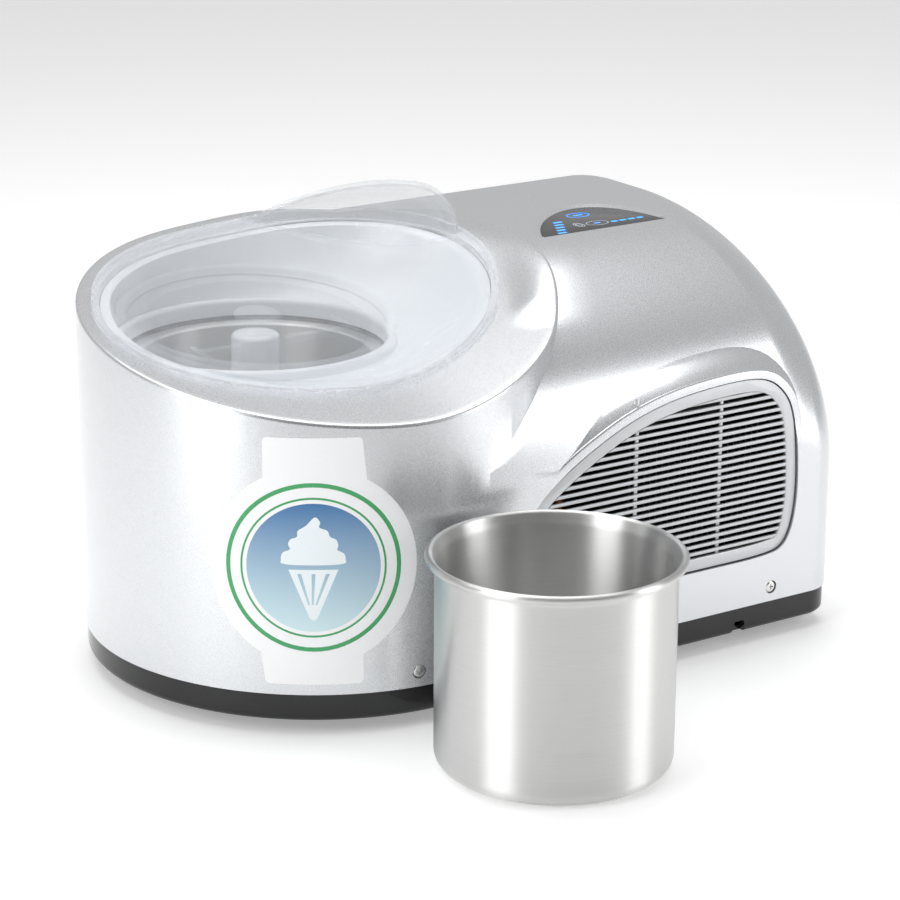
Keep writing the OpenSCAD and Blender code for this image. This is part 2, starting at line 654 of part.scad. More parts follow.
cond_x = 138;
cond_w = 98;
cond_z = 56;
cond_h = 84;
cond_y = -132;
cond_t = 18;
cond_row = cond_z + 12 + 20 * 2;  // height of the tube that the hot gas enters
module condenser() color([0.8, 0.8, 0.8]) at_drum() {
    rows = 4;
    for (x = [cond_x + 2:4.5:cond_x + cond_w - 2]) translate([x, cond_y, cond_z])
        cube([0.9, cond_t, cond_h]);
    for (i = [0:rows - 1]) translate([cond_x - 5, cond_y + cond_t / 2, cond_z + 12 + 20 * i])
        rotate([0, 90, 0]) cylinder(h = cond_w + 10, r = 3, $fn = 24);
    for (x = [cond_x - 5, cond_x + cond_w + 3.5]) translate([x, cond_y, floor_top])
        cube([1.5, cond_t, cond_z + cond_h - floor_top]);
}
shroud_y = cond_y + cond_t + 2;
module at_fan() at_drum() translate([fan_x, 0, fan_z]) rotate([-90, 0, 0]) children();
module fan_shroud() color(black) difference() {
    union() {
        at_drum() translate([fan_x - 52, shroud_y, floor_top]) cube([104, 2, fan_z + 50 - floor_top]);
        at_fan() translate([0, 0, shroud_y]) cylinder(h = 18, r = fan_r + 3.5, $fn = 72);
    }
    at_fan() translate([0, 0, shroud_y - 1]) cylinder(h = 40, r = fan_r + 1.5, $fn = 72);
}
rotor_y = shroud_y + 3;
rotor_h = 13;
spindle_r = 2.5;
module fan_rotor() color(black) at_fan() translate([0, 0, rotor_y]) {
    cylinder(h = rotor_h, r = 15, $fn = 64);
    cylinder(h = rotor_h + 22, r = spindle_r, $fn = 32);
    intersection() {
        difference() {
            cylinder(h = rotor_h, r = fan_r, $fn = 96);
            translate([0, 0, -1]) cylinder(h = rotor_h + 2, r = 14, $fn = 48);
        }
        for (i = [0:fan_blades - 1]) rotate([0, 0, 360 * i / fan_blades])
            translate([30, 0, rotor_h / 2]) rotate([58, 0, 0]) cube([50, 1.6, 22], center = true);
    }
}
module fan_motor() color(dark) at_fan() translate([0, 0, rotor_y + rotor_h + 4]) difference() {
    union() {
        cylinder(h = 30, r = 21, $fn = 72);
        translate([0, 0, -2]) cylinder(h = 4, r = 9, $fn = 48);
    }
    translate([0, 0, -3]) cylinder(h = 26, r = spindle_r + run_gap, $fn = 32);
}
module fan_bracket() color(steel) {
    y = rotor_y + rotor_h + 10;
    difference() {
        union() {
            at_drum() translate([fan_x - 13, y, floor_top]) cube([26, 12, fan_z - floor_top]);
            at_fan() translate([0, 0, y]) cylinder(h = 12, r = 23.5, $fn = 72);
            at_drum() translate([fan_x - 20, y - 8, floor_top]) cube([40, 28, 2.5]);
        }
        at_fan() translate([0, 0, y - 1]) cylinder(h = 14, r = 21, $fn = 72);
        at_drum() translate([fan_x - 9, y - 1, floor_top + 6]) cube([18, 14, fan_z - floor_top - 40]);
    }
}
drier = [132, -62, 40];
module filter_drier() color(copper) at_drum() translate(drier) rotate_extrude($fn = 40)
    polygon([[0, 0], [3, 0], [8, 8], [8, 52], [2.5, 60], [0, 60]]);

// Pipe routes, as round numbers from the drum's axis
function pipe(pts) = bent(pts, 9);
module suction_tube() color(copper) at_drum() {
    s = coil_end;
    tube(pipe([s + [2, -6, 0], [78, s[1] - 6, s[2]], [78, -32, s[2] + 6], [140, -32, s[2] + 6],
               [150, 40, s[2] + 6], [comp_x - 24, comp_y, s[2] + 6],
               [comp_x - 24, comp_y, comp_z + comp_h - 4]]), 3);
}
module discharge_tube() color(copper) at_drum() {
    top = comp_z + comp_h + 20;
    tube(pipe([[comp_x + 22, comp_y, comp_z + comp_h - 4], [comp_x + 22, comp_y, top],
               [254, 30, top], [256, -80, top - 20], [256, cond_y + cond_t / 2, cond_row],
               [cond_x + cond_w + 3, cond_y + cond_t / 2, cond_row]]), 2.6);
}
module capillary_tube() color(copper) at_drum() {
    beside = bowl_x + foam_out + 2.2;  // the line runs between the foam and the motor
    tube(pipe([drier + [0, 0, 59], drier + [0, 0, 80], [112, -62, 120], [beside + 4, -70, 100],
               [beside, -40, coil_start[2] + 14], [beside, coil_start[1] - 6, coil_start[2]],
               coil_start + [2, -6, 0]]), 1.6, 6);
    tube(pipe([drier + [0, 0, 1], drier + [0, 0, -12], [122, -100, 40],
               [122, cond_y + cond_t / 2, 68], [cond_x - 4, cond_y + cond_t / 2, 68]]), 2.5);
}

// ---------- lid, paddle and removable bowl ----------

lid_up = 0.5;                    // the lid's rim rests this far above the deck
lid_rim = 7;                     // height of the rim and of the plate's top
mouth_a = 75;                    // the scoop stands on the lid from this angle
mouth_b = 6;                     // to this one
sill_a = 80;                     // the filling mouth's front edge runs from this angle
sill_b = 3;                      // to this one
sill_bow = 27;                   // and bows this far in front of the straight line
function lid_point(t, f = 1) = [lid_x + f * lid_a * cos(t), lid_y + f * lid_b * sin(t)];
// Depth of the filling mouth's front edge at x
function sill_y(x) = let (p = lid_point(sill_a), q = lid_point(sill_b),
    t = (x - p[0]) / (q[0] - p[0]))
    t < 0 ? 400 : p[1] * (1 - t) + q[1] * t - 4 * sill_bow * t * max(0, 1 - t);
module lid_rim_hoop() hoop([oval(lid_a, lid_b, lid_up), oval(lid_a, lid_b, lid_rim - 1),
    oval(lid_a - 0.8, lid_b - 0.8, lid_rim), oval(lid_a - lid_t, lid_b - lid_t, lid_rim),
    oval(lid_a - lid_t, lid_b - lid_t, lid_up)]);
module lid_plate() skin([for (t = [6:7:174])
    let (x = lid_x - (lid_a - 1) * cos(t), w = (lid_b - 1) * sin(t), y0 = lid_y - w,
         y1 = min(lid_y + w, sill_y(x)))
    [for (p = [[y0, lid_rim - lid_t], [y1, lid_rim - lid_t], [y1, lid_rim], [y0, lid_rim]])
        [x, p[0], drum_z(x, p[0]) + p[1]]]]);
function scoop_rise(q) = q < 0.78 ? pow(sin(90 * q / 0.78), 0.85)
    : sqrt(max(0, 1 - pow((q - 0.78) / 0.22, 2)));
function scoop_point(q, s, off) =
    let (a = lid_point(mouth_a, 0.97) * (1 - q) + lid_point(mouth_b, 0.97) * q,
         b = lid_point(mouth_a * (1 - q) + mouth_b * q, 0.992),
         p = a * (1 - s) + b * s)
    [p[0], p[1], drum_z(p[0], p[1]) + lid_rim + off
        + (scoop_h - lid_rim) * scoop_rise(q) * sqrt(max(0, 1 - pow(s, 2.4)))];
module lid_scoop() {
    rows = [0, 0.25, 0.5, 0.7, 0.85, 0.95, 1];
    skin([for (i = [0:20]) let (q = i / 20) concat(
        [for (s = rows) scoop_point(q, s, -lid_t)],
        [for (j = [6:-1:0]) scoop_point(q, rows[j], 0)])]);
}
module lid() color(clear) at_drum() {
    lid_rim_hoop();
    lid_plate();
    lid_scoop();
}

hub_in = fixed_tube_r + 3;
hub_out = hub_in + 2.9;
paddle_low = fixed_floor + bowl_wall + 1;
knob_low = lip_h - 16;
blade_h = 92;                    // height of the paddle's blades
short_side = 0.66;               // reach of the inner blade as a share of the outer one's
module paddle() color("white") at_bowl() {
    difference() {
        translate([0, 0, paddle_low]) cylinder(h = knob_low - paddle_low, r = hub_out, $fn = 64);
        translate([0, 0, paddle_low - 1])
            cylinder(h = fixed_tube_top + 5 - paddle_low, r = hub_in, $fn = 64);
        translate([0, 0, paddle_low])
            cylinder(h = shaft_top + 1 - paddle_low, r = shaft_r + run_gap, $fn = 64);
    }
    // two arms along the floor and near the top, and the blades that they carry
    reach = fixed_bowl_r - 2;
    difference() {
        intersection() {
            rotate_extrude($fn = 96) polygon(concat([[0, paddle_low]], corner(reach, 12, paddle_low),
                [[reach, knob_low], [0, knob_low]]));
            for (side = [[0, reach], [180, reach * short_side]]) rotate([0, 0, side[0]]) {
                translate([hub_out - 1, -2.5, paddle_low]) cube([side[1] - hub_out - 1, 5, 9]);
                translate([hub_out - 1, -2.5, paddle_low + blade_h - 8])
                    cube([side[1] - hub_out - 2, 5, 8]);
                intersection() {
                    translate([0, 0, paddle_low]) difference() {
                        cylinder(h = blade_h, r = side[1], $fn = 96);
                        translate([0, 0, -1]) cylinder(h = blade_h + 2, r = side[1] - 4, $fn = 96);
                    }
                    linear_extrude(lip_h) polygon([[0, 0], [200, -40], [200, 60]]);
                }
            }
        }
        translate([0, 0, paddle_low - 1]) cylinder(h = 10, r = hub_in, $fn = 64);
    }
}
module paddle_knob() color("white") at_bowl() translate([0, 0, knob_low]) rotate_extrude($fn = 64)
    polygon(concat([[0, 0], [hub_out, 0], [hub_out, lip_h - knob_low - 1.5]],
        [for (a = [0:15:90]) [hub_out - 1.5 + 1.5 * cos(a), lip_h - knob_low - 1.5 + 1.5 * sin(a)]],
        [[0, lip_h - knob_low]]));

pail_r = fixed_bowl_r - 2;
pail_tube_r = fixed_tube_r + 0.8;
module removable_bowl() color(steel) at_drum() translate([pail_x, pail_y, 0]) rotate_extrude($fn = 96) {
    t = bowl_wall;
    h = pail_h;
    roll = 2.2;
    polygon(concat([[pail_tube_r, 0]], corner(pail_r, 12, 0),
        [[pail_r, h - 9], [pail_rim_r - roll - 1, h - 4]],
        [for (a = [-90:30:150]) [pail_rim_r - roll + roll * cos(a), h - roll + roll * sin(a)]],
        [[pail_r - t + 0.4, h - 8]],
        [for (a = [0:-15:-90]) [pail_r - 12 + (12 - t) * cos(a), 12 + (12 - t) * sin(a)]],
        [[pail_tube_r + t, t], [pail_tube_r + t, h - 38], [pail_tube_r, h - 38]]));
}

base_pan();
rubber_feet();
casing();
case_screws();
label();
front_grille();
rear_grille();
control_glass();
control_lights();
control_board();
power_board();
inlet_socket();
bowl_surround();
surround_gasket();
fixed_bowl();
evaporator_coil();
foam_jacket();
lower_bearing();
upper_bearing();
shaft_seal();
bearing_housing();
drive_shaft();
large_pulley();
drive_belt();
motor_body();
motor_bracket();
motor_shaft();
motor_pulley();
compressor();
compressor_feet();
compressor_terminals();
condenser();
fan_shroud();
fan_motor();
fan_bracket();
fan_rotor();
filter_drier();
suction_tube();
discharge_tube();
capillary_tube();
lid();
paddle();
paddle_knob();
removable_bowl();
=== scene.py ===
# %% [markdown]
# # A compressor ice cream maker and its second bowl
# The frame gives every piece of the machine at its real place and size, and how it moves.
# This lesson gives each piece that shows its true surface: the pearl shell, the clear lid,
# the steel bowls, the touch panel and the grille.
# Lengths below are in millimetres, measured from the drum's axis.

# %% The frame, and where the drum stands in it
from math import cos, hypot, pi, radians, sin, sqrt

import bpy
import numpy as np
from mathutils import Matrix, Vector


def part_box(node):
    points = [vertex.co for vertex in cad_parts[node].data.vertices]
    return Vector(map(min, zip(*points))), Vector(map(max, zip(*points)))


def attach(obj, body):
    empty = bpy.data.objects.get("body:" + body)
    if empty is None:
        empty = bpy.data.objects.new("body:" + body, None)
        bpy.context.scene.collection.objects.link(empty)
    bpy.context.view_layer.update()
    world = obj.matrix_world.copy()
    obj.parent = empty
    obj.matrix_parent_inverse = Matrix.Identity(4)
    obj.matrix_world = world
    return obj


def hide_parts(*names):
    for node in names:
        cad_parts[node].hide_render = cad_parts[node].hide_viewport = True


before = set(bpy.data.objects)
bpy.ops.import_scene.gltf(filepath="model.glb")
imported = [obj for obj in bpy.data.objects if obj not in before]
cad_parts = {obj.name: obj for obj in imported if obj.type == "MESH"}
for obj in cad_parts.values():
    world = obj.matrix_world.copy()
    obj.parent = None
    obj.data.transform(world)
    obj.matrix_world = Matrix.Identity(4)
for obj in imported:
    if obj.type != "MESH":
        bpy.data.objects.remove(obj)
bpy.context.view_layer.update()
MM = 0.001
CASE_LOW, CASE_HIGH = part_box("casing")
DRUM_R = round((CASE_HIGH[1] - CASE_LOW[1]) / 2 / MM, 2)
HOUSE_LEN = round((CASE_HIGH[0] - CASE_LOW[0]) / MM - DRUM_R, 2)
AXIS = Vector((CASE_LOW[0] + DRUM_R * MM, (CASE_LOW[1] + CASE_HIGH[1]) / 2, 0))
print("drum radius", DRUM_R, "house length", HOUSE_LEN, "axis", [round(v, 4) for v in AXIS])


# %% A point measured from the drum's axis, as Blender's metres
def at(x, y, z):
    return Vector((x * MM + AXIS.x, y * MM + AXIS.y, z * MM))


# %% [markdown]
# ## Camera, floor and light
# The machine stands on a pale table and is seen from its front left, a little from above.
# A long lens from well back keeps upright edges upright. The floor is one wide plane, so
# no horizon shows. Silver plastic and steel are drawn by what they mirror, so two tall soft
# boxes stand at the sides, one hangs above, and the dark room behind the camera gives the
# dark band down the middle of the steel bowl.

# %% The camera
def aim(thing, place, target):
    thing.location = place
    thing.rotation_euler = (target - place).to_track_quat("-Z", "Y").to_euler()


CAMERA_PLACE, LOOK_AT, CAMERA_ROLL = at(-881.3, -1456.5, 670), at(94.7, 0, 108.7), 0.35
camera_data = bpy.data.cameras.new("camera")
camera_data.lens = 118.8
camera_data.sensor_width = 36
camera = bpy.data.objects.new("camera", camera_data)
bpy.context.scene.collection.objects.link(camera)
bpy.context.scene.camera = camera
aim(camera, CAMERA_PLACE, LOOK_AT)
camera.rotation_euler.rotate_axis("Z", radians(CAMERA_ROLL))
print("camera", round((CAMERA_PLACE - LOOK_AT).length, 3), "m away")


# %% Soft boxes: one at each side and one above
def soft_box(name, place, target, size, power):
    data = bpy.data.lights.new(name, "AREA")
    data.shape = "RECTANGLE"
    data.size, data.size_y = size
    data.energy = power
    box = bpy.data.objects.new(name, data)
    bpy.context.scene.collection.objects.link(box)
    aim(box, place, target)
    return box


MIDDLE = at(75, -60, 110)
soft_box("box_left", at(-1500, -300, 700), MIDDLE, (0.8, 1.6), 13)
soft_box("box_right", at(1300, -1300, 650), MIDDLE, (0.7, 1.5), 10)
soft_box("box_above", at(100, 250, 1700), MIDDLE, (1.8, 1.4), 20)

# %% The room: bright at the back, dark behind the camera and a little to its right
DARK_SIDE = (-0.44, -0.9, 0)
BRIGHT_TO_DARK = {"From Min": -0.1, "From Max": 0.75, "To Min": 0.5, "To Max": 0.1}
world = bpy.data.worlds.new("room")
world.use_nodes = True
room_nodes, room_links = world.node_tree.nodes, world.node_tree.links
room = room_nodes["Background"]
room.inputs["Color"].default_value = (1, 1, 1, 1)
way = room_nodes.new("ShaderNodeTexCoord").outputs["Generated"]
toward = room_nodes.new("ShaderNodeVectorMath")
toward.operation = "DOT_PRODUCT"
toward.inputs[1].default_value = DARK_SIDE
room_links.new(way, toward.inputs[0])
strength = room_nodes.new("ShaderNodeMapRange")
for socket, value in BRIGHT_TO_DARK.items():
    strength.inputs[socket].default_value = value
room_links.new(toward.outputs["Value"], strength.inputs["Value"])
room_links.new(strength.outputs[0], room.inputs["Strength"])
bpy.context.scene.world = world
bpy.context.scene.view_settings.view_transform = "Standard"


# %% [markdown]
# ## Finishes
# Every finish below is a Principled shader with small changes of colour, gloss and height
# that come from noise, laid out in real millimetres on the piece. One function adds a node
# and its links, one turns a hex colour to the linear light that a shader works in.

# %% Colours and nodes
def colour(hex_code, alpha=1.0):
    parts = [int(hex_code[i:i + 2], 16) / 255 for i in (1, 3, 5)]
    linear = [p / 12.92 if p <= 0.04045 else ((p + 0.055) / 1.055) ** 2.4 for p in parts]
    return (*linear, alpha)


def add(tree, kind, sockets=None, **settings):
    node = tree.nodes.new(kind)
    for key, value in settings.items():
        setattr(node, key, value)
    for key, value in (sockets or {}).items():
        if isinstance(value, bpy.types.NodeSocket):
            tree.links.new(value, node.inputs[key])
        else:
            node.inputs[key].default_value = value
    return node


# %% A finish: base values, and a grain with its size in millimetres on each axis
def finish(name, main, second, grain, bump, gloss, sockets=None, detail=3.0):
    made = bpy.data.materials.new(name)
    made.use_nodes = True
    made.diffuse_color = colour(main)
    tree = made.node_tree
    tree.nodes.clear()
    place = add(tree, "ShaderNodeTexCoord").outputs["Object"]
    sized = add(tree, "ShaderNodeMapping",
                {"Vector": place, "Scale": [1 / (size * MM) for size in grain]}).outputs[0]
    noise = add(tree, "ShaderNodeTexNoise", {"Vector": sized, "Scale": 1.0,
                                             "Detail": detail}).outputs["Fac"]
    tint = add(tree, "ShaderNodeMix", {0: noise, 6: colour(main), 7: colour(second)},
               data_type="RGBA").outputs[2]
    rough = add(tree, "ShaderNodeMapRange", {"Value": noise, "From Min": 0.3, "From Max": 0.7,
                                             "To Min": gloss[0], "To Max": gloss[1]}).outputs[0]
    height = add(tree, "ShaderNodeBump", {"Height": noise, "Distance": bump * MM}).outputs[0]
    values = {"Base Color": tint, "Roughness": rough, "Normal": height}
    values.update(sockets or {})
    shader = add(tree, "ShaderNodeBsdfPrincipled", values)
    add(tree, "ShaderNodeOutputMaterial", {"Surface": shader.outputs[0]})
    return made


# %% Finishes of the shell and its trims
# ABS sprayed with pearl silver under a clear coat: fine flakes, soft wide reflections.
PEARL = finish("sprayed_pearl_silver_abs", "#CDCFD2", "#D9DBDE", (0.5, 0.5, 0.5), 0.004,
               (0.24, 0.32), {"Metallic": 0.75, "Coat Weight": 0.5, "Coat Roughness": 0.12})
# The grille is moulded in the same plastic without the coat, so it is a little flatter.
GRILLE = finish("moulded_silver_abs", "#C4C6C9", "#D2D4D6", (0.6, 0.6, 0.6), 0.006,
                (0.32, 0.42), {"Metallic": 0.45})
# Polished black ABS: near black, mirror gloss, faint moulding ripple.
BLACK = finish("polished_black_abs", "#0A0A0B", "#101012", (12, 12, 6), 0.01,
               (0.08, 0.14), {"Specular IOR Level": 0.5})
# Fine spark-eroded black plastic of inner parts.
INNER = finish("grained_black_pp", "#141415", "#1E1E20", (0.8, 0.8, 0.8), 0.03, (0.5, 0.65))
WHITE = finish("moulded_white_pp", "#E9EDF1", "#F1F4F7", (6, 6, 6), 0.008, (0.2, 0.28),
               {"Subsurface Weight": 0.08, "Subsurface Radius": (0.004, 0.004, 0.004)})
RUBBER = finish("moulded_black_rubber", "#101010", "#1A1A1A", (0.7, 0.7, 0.7), 0.03, (0.7, 0.85))
GLASS = finish("black_tempered_glass", "#030304", "#050507", (20, 20, 20), 0.001,
               (0.03, 0.06), {"IOR": 1.52})
print("finishes", len(bpy.data.materials))

# %% Clear and metal finishes
# Clear SAN of the lid: water clear with a faint blue, glossy, bright only at its edges.
# Most light goes straight through, so the dish below it stays bright.
CLEAR = finish("clear_moulded_san", "#EEF3FA", "#F6F9FD", (25, 25, 25), 0.004, (0.015, 0.03),
               {"Transmission Weight": 0.7, "IOR": 1.45, "Alpha": 0.3})
# Spun and brushed stainless steel: fine lines run round the bowl, so the grain is long
# sideways and 0.35 mm high, which is as fine as the picture can show.
STEEL = finish("brushed_stainless_steel", "#D2D2D1", "#E0E0DF", (60, 60, 0.35), 0.003,
               (0.36, 0.42), {"Metallic": 1.0, "Anisotropic": 0.95, "Anisotropic Rotation": 0.25})
BRIGHT = finish("nickel_plated_steel", "#D0D0CE", "#DEDEDC", (2, 2, 2), 0.003, (0.15, 0.25),
                {"Metallic": 1.0})
MOTOR = finish("zinc_plated_steel", "#8D9194", "#A3A7AA", (1.2, 1.2, 1.2), 0.01, (0.35, 0.5),
               {"Metallic": 0.9})
COPPER = finish("drawn_copper", "#B4694A", "#C98460", (3, 3, 3), 0.005, (0.25, 0.4),
                {"Metallic": 1.0})
# The condenser's fins are bare aluminium; this near black is painted shade, so the gaps between
# the grille's slats look dark.
FINS_PAINTED_SHADE = finish("aluminium_painted_shade_black", "#0E0F10", "#17181A", (2, 2, 2), 0.01, (0.4, 0.55),
              {"Metallic": 0.6})
TANK = finish("black_enamelled_steel", "#0C0C0D", "#151517", (1.5, 1.5, 1.5), 0.02,
              (0.25, 0.35), {"Coat Weight": 0.3})
BOARD = finish("green_circuit_board", "#0F4A22", "#176030", (3, 3, 3), 0.02, (0.35, 0.5))
FOAM = finish("polyurethane_foam", "#D9C68A", "#E8D8A4", (2.5, 2.5, 2.5), 0.25, (0.85, 0.95))
print("finishes", len(bpy.data.materials))


# %% Printed film and lit marks
def plain_print(name, main, second, glow=0.0):
    sockets = {"Coat Weight": 0.3, "Coat Roughness": 0.15}
    if glow:
        sockets.update({"Emission Color": colour(main), "Emission Strength": glow})
    return finish(name, main, second, (1.5, 1.5, 1.5), 0.001, (0.3, 0.38), sockets)


FILM = plain_print("white_vinyl_film", "#F4F6F7", "#FAFBFC")
PALE_INK = plain_print("pale_blue_ink", "#EAF4F8", "#F2F9FB")
GREEN_INK = plain_print("green_ink", "#2E9B58", "#3BAA66")
BLUE_LIGHT = plain_print("blue_light_guide", "#2F8CF0", "#3A98FA", glow=1.6)
WHITE_LIGHT = plain_print("white_light_guide", "#B9C4D2", "#CAD3DE", glow=0.25)
print("finishes", len(bpy.data.materials))


# %% [markdown]
# ## Mesh helpers
# The machine's shell, its insert and its lid are doubly curved, and their height follows one
# formula: a tilted deck that melts into a rolled housing. Operators can't follow a formula,
# so those pieces are skinned from rings of computed points. Everything round or flat is
# made with operators: a chain of points that is spun, or a face that is extruded, inset
# and bevelled.

# %% Selecting, finishing and placing a piece
def only(*things):
    if bpy.context.object and bpy.context.object.mode != "OBJECT":
        bpy.ops.object.mode_set(mode="OBJECT")
    bpy.ops.object.select_all(action="DESELECT")
    for thing in things:
        thing.select_set(True)
    bpy.context.view_layer.objects.active = things[-1]


def use(piece, kind, **settings):
    """Adds a modifier and applies it at once."""
    only(piece)
    modifier = piece.modifiers.new(kind.lower(), kind)
    for key, value in settings.items():
        setattr(modifier, key, value)
    bpy.ops.object.modifier_apply(modifier=modifier.name)


def cut(piece, tool, operation="DIFFERENCE", keep=False):
    use(piece, "BOOLEAN", object=tool, operation=operation, solver="EXACT")
    if not keep:
        bpy.data.objects.remove(tool)


def done(piece, body, slot, material, *nodes, angle=35):
    """The last steps for a piece: place in its mesh, smooth, material, body. The slot argument is
    not used.
    """
    only(piece)
    bpy.ops.object.transform_apply(location=True, rotation=True, scale=True)
    bpy.ops.object.shade_smooth_by_angle(angle=radians(angle))
    piece.data.materials.clear()
    piece.data.materials.append(material)
    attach(piece, body)
    if nodes:
        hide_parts(*nodes)
    print(piece.name, len(piece.data.polygons), "faces")
    return piece


# %% Skins from rings of computed points
def mesh_piece(name, points, faces):
    data = bpy.data.meshes.new(name)
    data.from_pydata([at(*p) for p in points], [], faces)
    data.update()
    piece = bpy.data.objects.new(name, data)
    bpy.context.scene.collection.objects.link(piece)
    only(piece)
    bpy.ops.object.mode_set(mode="EDIT")
    bpy.ops.mesh.select_all(action="SELECT")
    bpy.ops.mesh.remove_doubles(threshold=0.00001)
    bpy.ops.mesh.normals_make_consistent(inside=False)
    bpy.ops.object.mode_set(mode="OBJECT")
    return piece


def walls(n, m):
    return [(k * n + i, k * n + (i + 1) % n, (k + 1) * n + (i + 1) % n, (k + 1) * n + i)
            for k in range(m - 1) for i in range(n)]


def skin(name, rings):
    """Rings from the lowest to the highest, with both ends closed."""
    n, m = len(rings[0]), len(rings)
    points = [p for ring in rings for p in ring]
    ends = [tuple(range(n - 1, -1, -1)), tuple(range((m - 1) * n, m * n))]
    return mesh_piece(name, points, walls(n, m) + ends)


def hoop(name, rings):
    """Rings up the outside and down the inside, closed into a ring-shaped solid."""
    n, m = len(rings[0]), len(rings)
    points = [p for ring in rings for p in ring]
    last = [((m - 1) * n + i, (m - 1) * n + (i + 1) % n, (i + 1) % n, i) for i in range(n)]
    return mesh_piece(name, points, walls(n, m) + last)


# %% A chain of points drawn by extruding one vertex, then spun or made a plate
def chain(name, points, closed=False):
    bpy.ops.object.select_all(action="DESELECT")
    bpy.ops.mesh.primitive_plane_add(size=MM, location=points[0])
    piece = bpy.context.object
    piece.name = name
    bpy.ops.object.mode_set(mode="EDIT")
    bpy.ops.mesh.select_mode(type="VERT")
    bpy.ops.mesh.select_all(action="SELECT")
    bpy.ops.mesh.merge(type="CENTER")
    for before, after in zip(points, points[1:]):
        bpy.ops.mesh.extrude_region_move(TRANSFORM_OT_translate={"value": after - before})
    if closed:
        bpy.ops.mesh.select_all(action="SELECT")
        bpy.ops.mesh.edge_face_add()
    return piece


def spun(name, centre, outline, steps=128):
    """outline is a list of (radius, height), turned round the upright line through centre."""
    piece = chain(name, [at(centre[0] + r, centre[1], z) for r, z in outline])
    bpy.ops.mesh.select_all(action="SELECT")
    bpy.ops.mesh.spin(steps=steps, angle=2 * pi, center=at(*centre, 0), axis=(0, 0, 1))
    bpy.ops.mesh.select_all(action="SELECT")
    bpy.ops.mesh.remove_doubles(threshold=0.00001)
    bpy.ops.mesh.normals_make_consistent(inside=False)
    bpy.ops.object.mode_set(mode="OBJECT")
    return piece


def plate(name, outline, rise):
    """A closed outline of points, made a face and extruded by rise."""
    piece = chain(name, outline, closed=True)
    bpy.ops.mesh.select_all(action="SELECT")
    bpy.ops.mesh.extrude_region_move(TRANSFORM_OT_translate={"value": rise})
    bpy.ops.mesh.select_all(action="SELECT")
    bpy.ops.mesh.normals_make_consistent(inside=False)
    bpy.ops.object.mode_set(mode="OBJECT")
    return piece


# %% [markdown]
# ## The shell's surface
# The drum is an upright cylinder cut off by a deck that falls to the front and rises to the
# housing. The housing is one side view, a quarter ellipse in front and a flat top, carried
# to the right. Near its right end the roll deepens backwards, and the upright corners are
# rounded. At the back right the deck melts into the housing's top, so no edge shows there.

# %% Heights of the deck and the housing
DECK_H, DECK_TILT, DECK_RISE = 209.5, 0.195, 0.19
HOUSE_H, ROLL_H = 240, 120
END_LEN, END_DROP, BACK_FILLET = 23, 4, 30
TAPER, TAPER_DROP, TAPER_BACK = 45, 15, 70
BASE_TOP = 25
WALL = 2.6


def smooth(t):
    c = min(1.0, max(0.0, t))
    return c * c * (3 - 2 * c)


def deck_z(x, y):
    ramp = 12 * float(np.logaddexp(0, x / 12))
    top = HOUSE_H + 2.5
    return -3 * float(np.logaddexp(-(DECK_H + DECK_TILT * y + DECK_RISE * ramp) / 3, -top / 3))


def roll_z(y):
    if y < 0:
        return ROLL_H + (HOUSE_H - ROLL_H) * sqrt(max(0, 1 - (y / DRUM_R) ** 2))
    return HOUSE_H


def drum_z(x, y):
    a, r = np.degrees(np.arctan2(y, x)), hypot(x, y)
    melt = smooth((a + 46) / 12) * smooth((75 - a) / 25) * smooth((r - 112) / (DRUM_R - 112))
    return deck_z(x, y) * (1 - melt) + roll_z(y) * melt


def turn(n, start=0.0, stop=360.0):
    return [radians(start + (stop - start) * i / n) for i in range(n)]


# %% The drum: an upright wall, a rounded edge 2 mm wide, and the deck
DECK_RINGS = 40


def drum_solid(name, inset, low, n, edge):
    r = DRUM_R - inset

    def ring(radius, drop):
        return [(radius * cos(a), radius * sin(a),
                 drum_z(radius * cos(a), radius * sin(a)) - inset - drop) for a in turn(n)]
    rings = [[(r * cos(a), r * sin(a), low) for a in turn(n)]]
    rings += [ring(r - edge + edge * cos(t), edge - edge * sin(t))
              for t in turn(6, 0, 90) if edge] + [ring(r - edge, 0)]
    rings += [ring((r - edge) * (1 - k / DECK_RINGS), 0) for k in range(1, DECK_RINGS - 2)]
    return skin(name, rings)


# %% The housing: its side view, carried right and rounded off
SEAM, FLAT_RINGS = 3, 9


def house_loop(x, s, inset, low, n):
    """The side view at x; s goes from 0 to 1 over the rounding of the right end."""
    w = smooth((x - HOUSE_LEN + TAPER) / TAPER)
    half = DRUM_R - inset - (END_LEN - inset) * s
    middle, start = TAPER_BACK * w, ROLL_H - TAPER_DROP * w
    top = HOUSE_H - inset - END_DROP * s
    f = BACK_FILLET
    loop = [(-half, low), (half, low)]
    loop += [(half - f * (1 - cos(a)), top - f * (1 - sin(a))) for a in turn(n, 0, 90)]
    loop += [(middle + (half - f - middle) * (1 - i / n), top) for i in range(n)]
    loop += [(middle - (half + middle) * sin(a), start + (top - start) * cos(a))
             for a in turn(4 * n, 0, 90)]
    return loop + [(-half, start)]


def house_solid(name, inset, low, n):
    end, taper = HOUSE_LEN - END_LEN, HOUSE_LEN - TAPER
    reach = DRUM_R - inset - SEAM
    rings = []
    for i in range(FLAT_RINGS):
        ring = []
        for y, z in house_loop(0, 0, inset, low, n):
            share = i / FLAT_RINGS
            x = sqrt(max(1, reach ** 2 - y * y)) * (1 - share) + taper * share
            under = min(z, max(low, drum_z(x, y) - inset - 1))
            ring.append((x, y, z if i else under))
        rings.append(ring)
    for i in range(2 * n):
        x = taper + (end - taper) * i / (2 * n)
        rings.append([(x, y, z) for y, z in house_loop(x, 0, inset, low, n)])
    for a in [*turn(3 * n, 0, 90), pi / 2]:
        x = end + (END_LEN - inset) * sin(a)
        rings.append([(x, y, z) for y, z in house_loop(x, 1 - cos(a), inset, low, n)])
    return skin(name, rings)


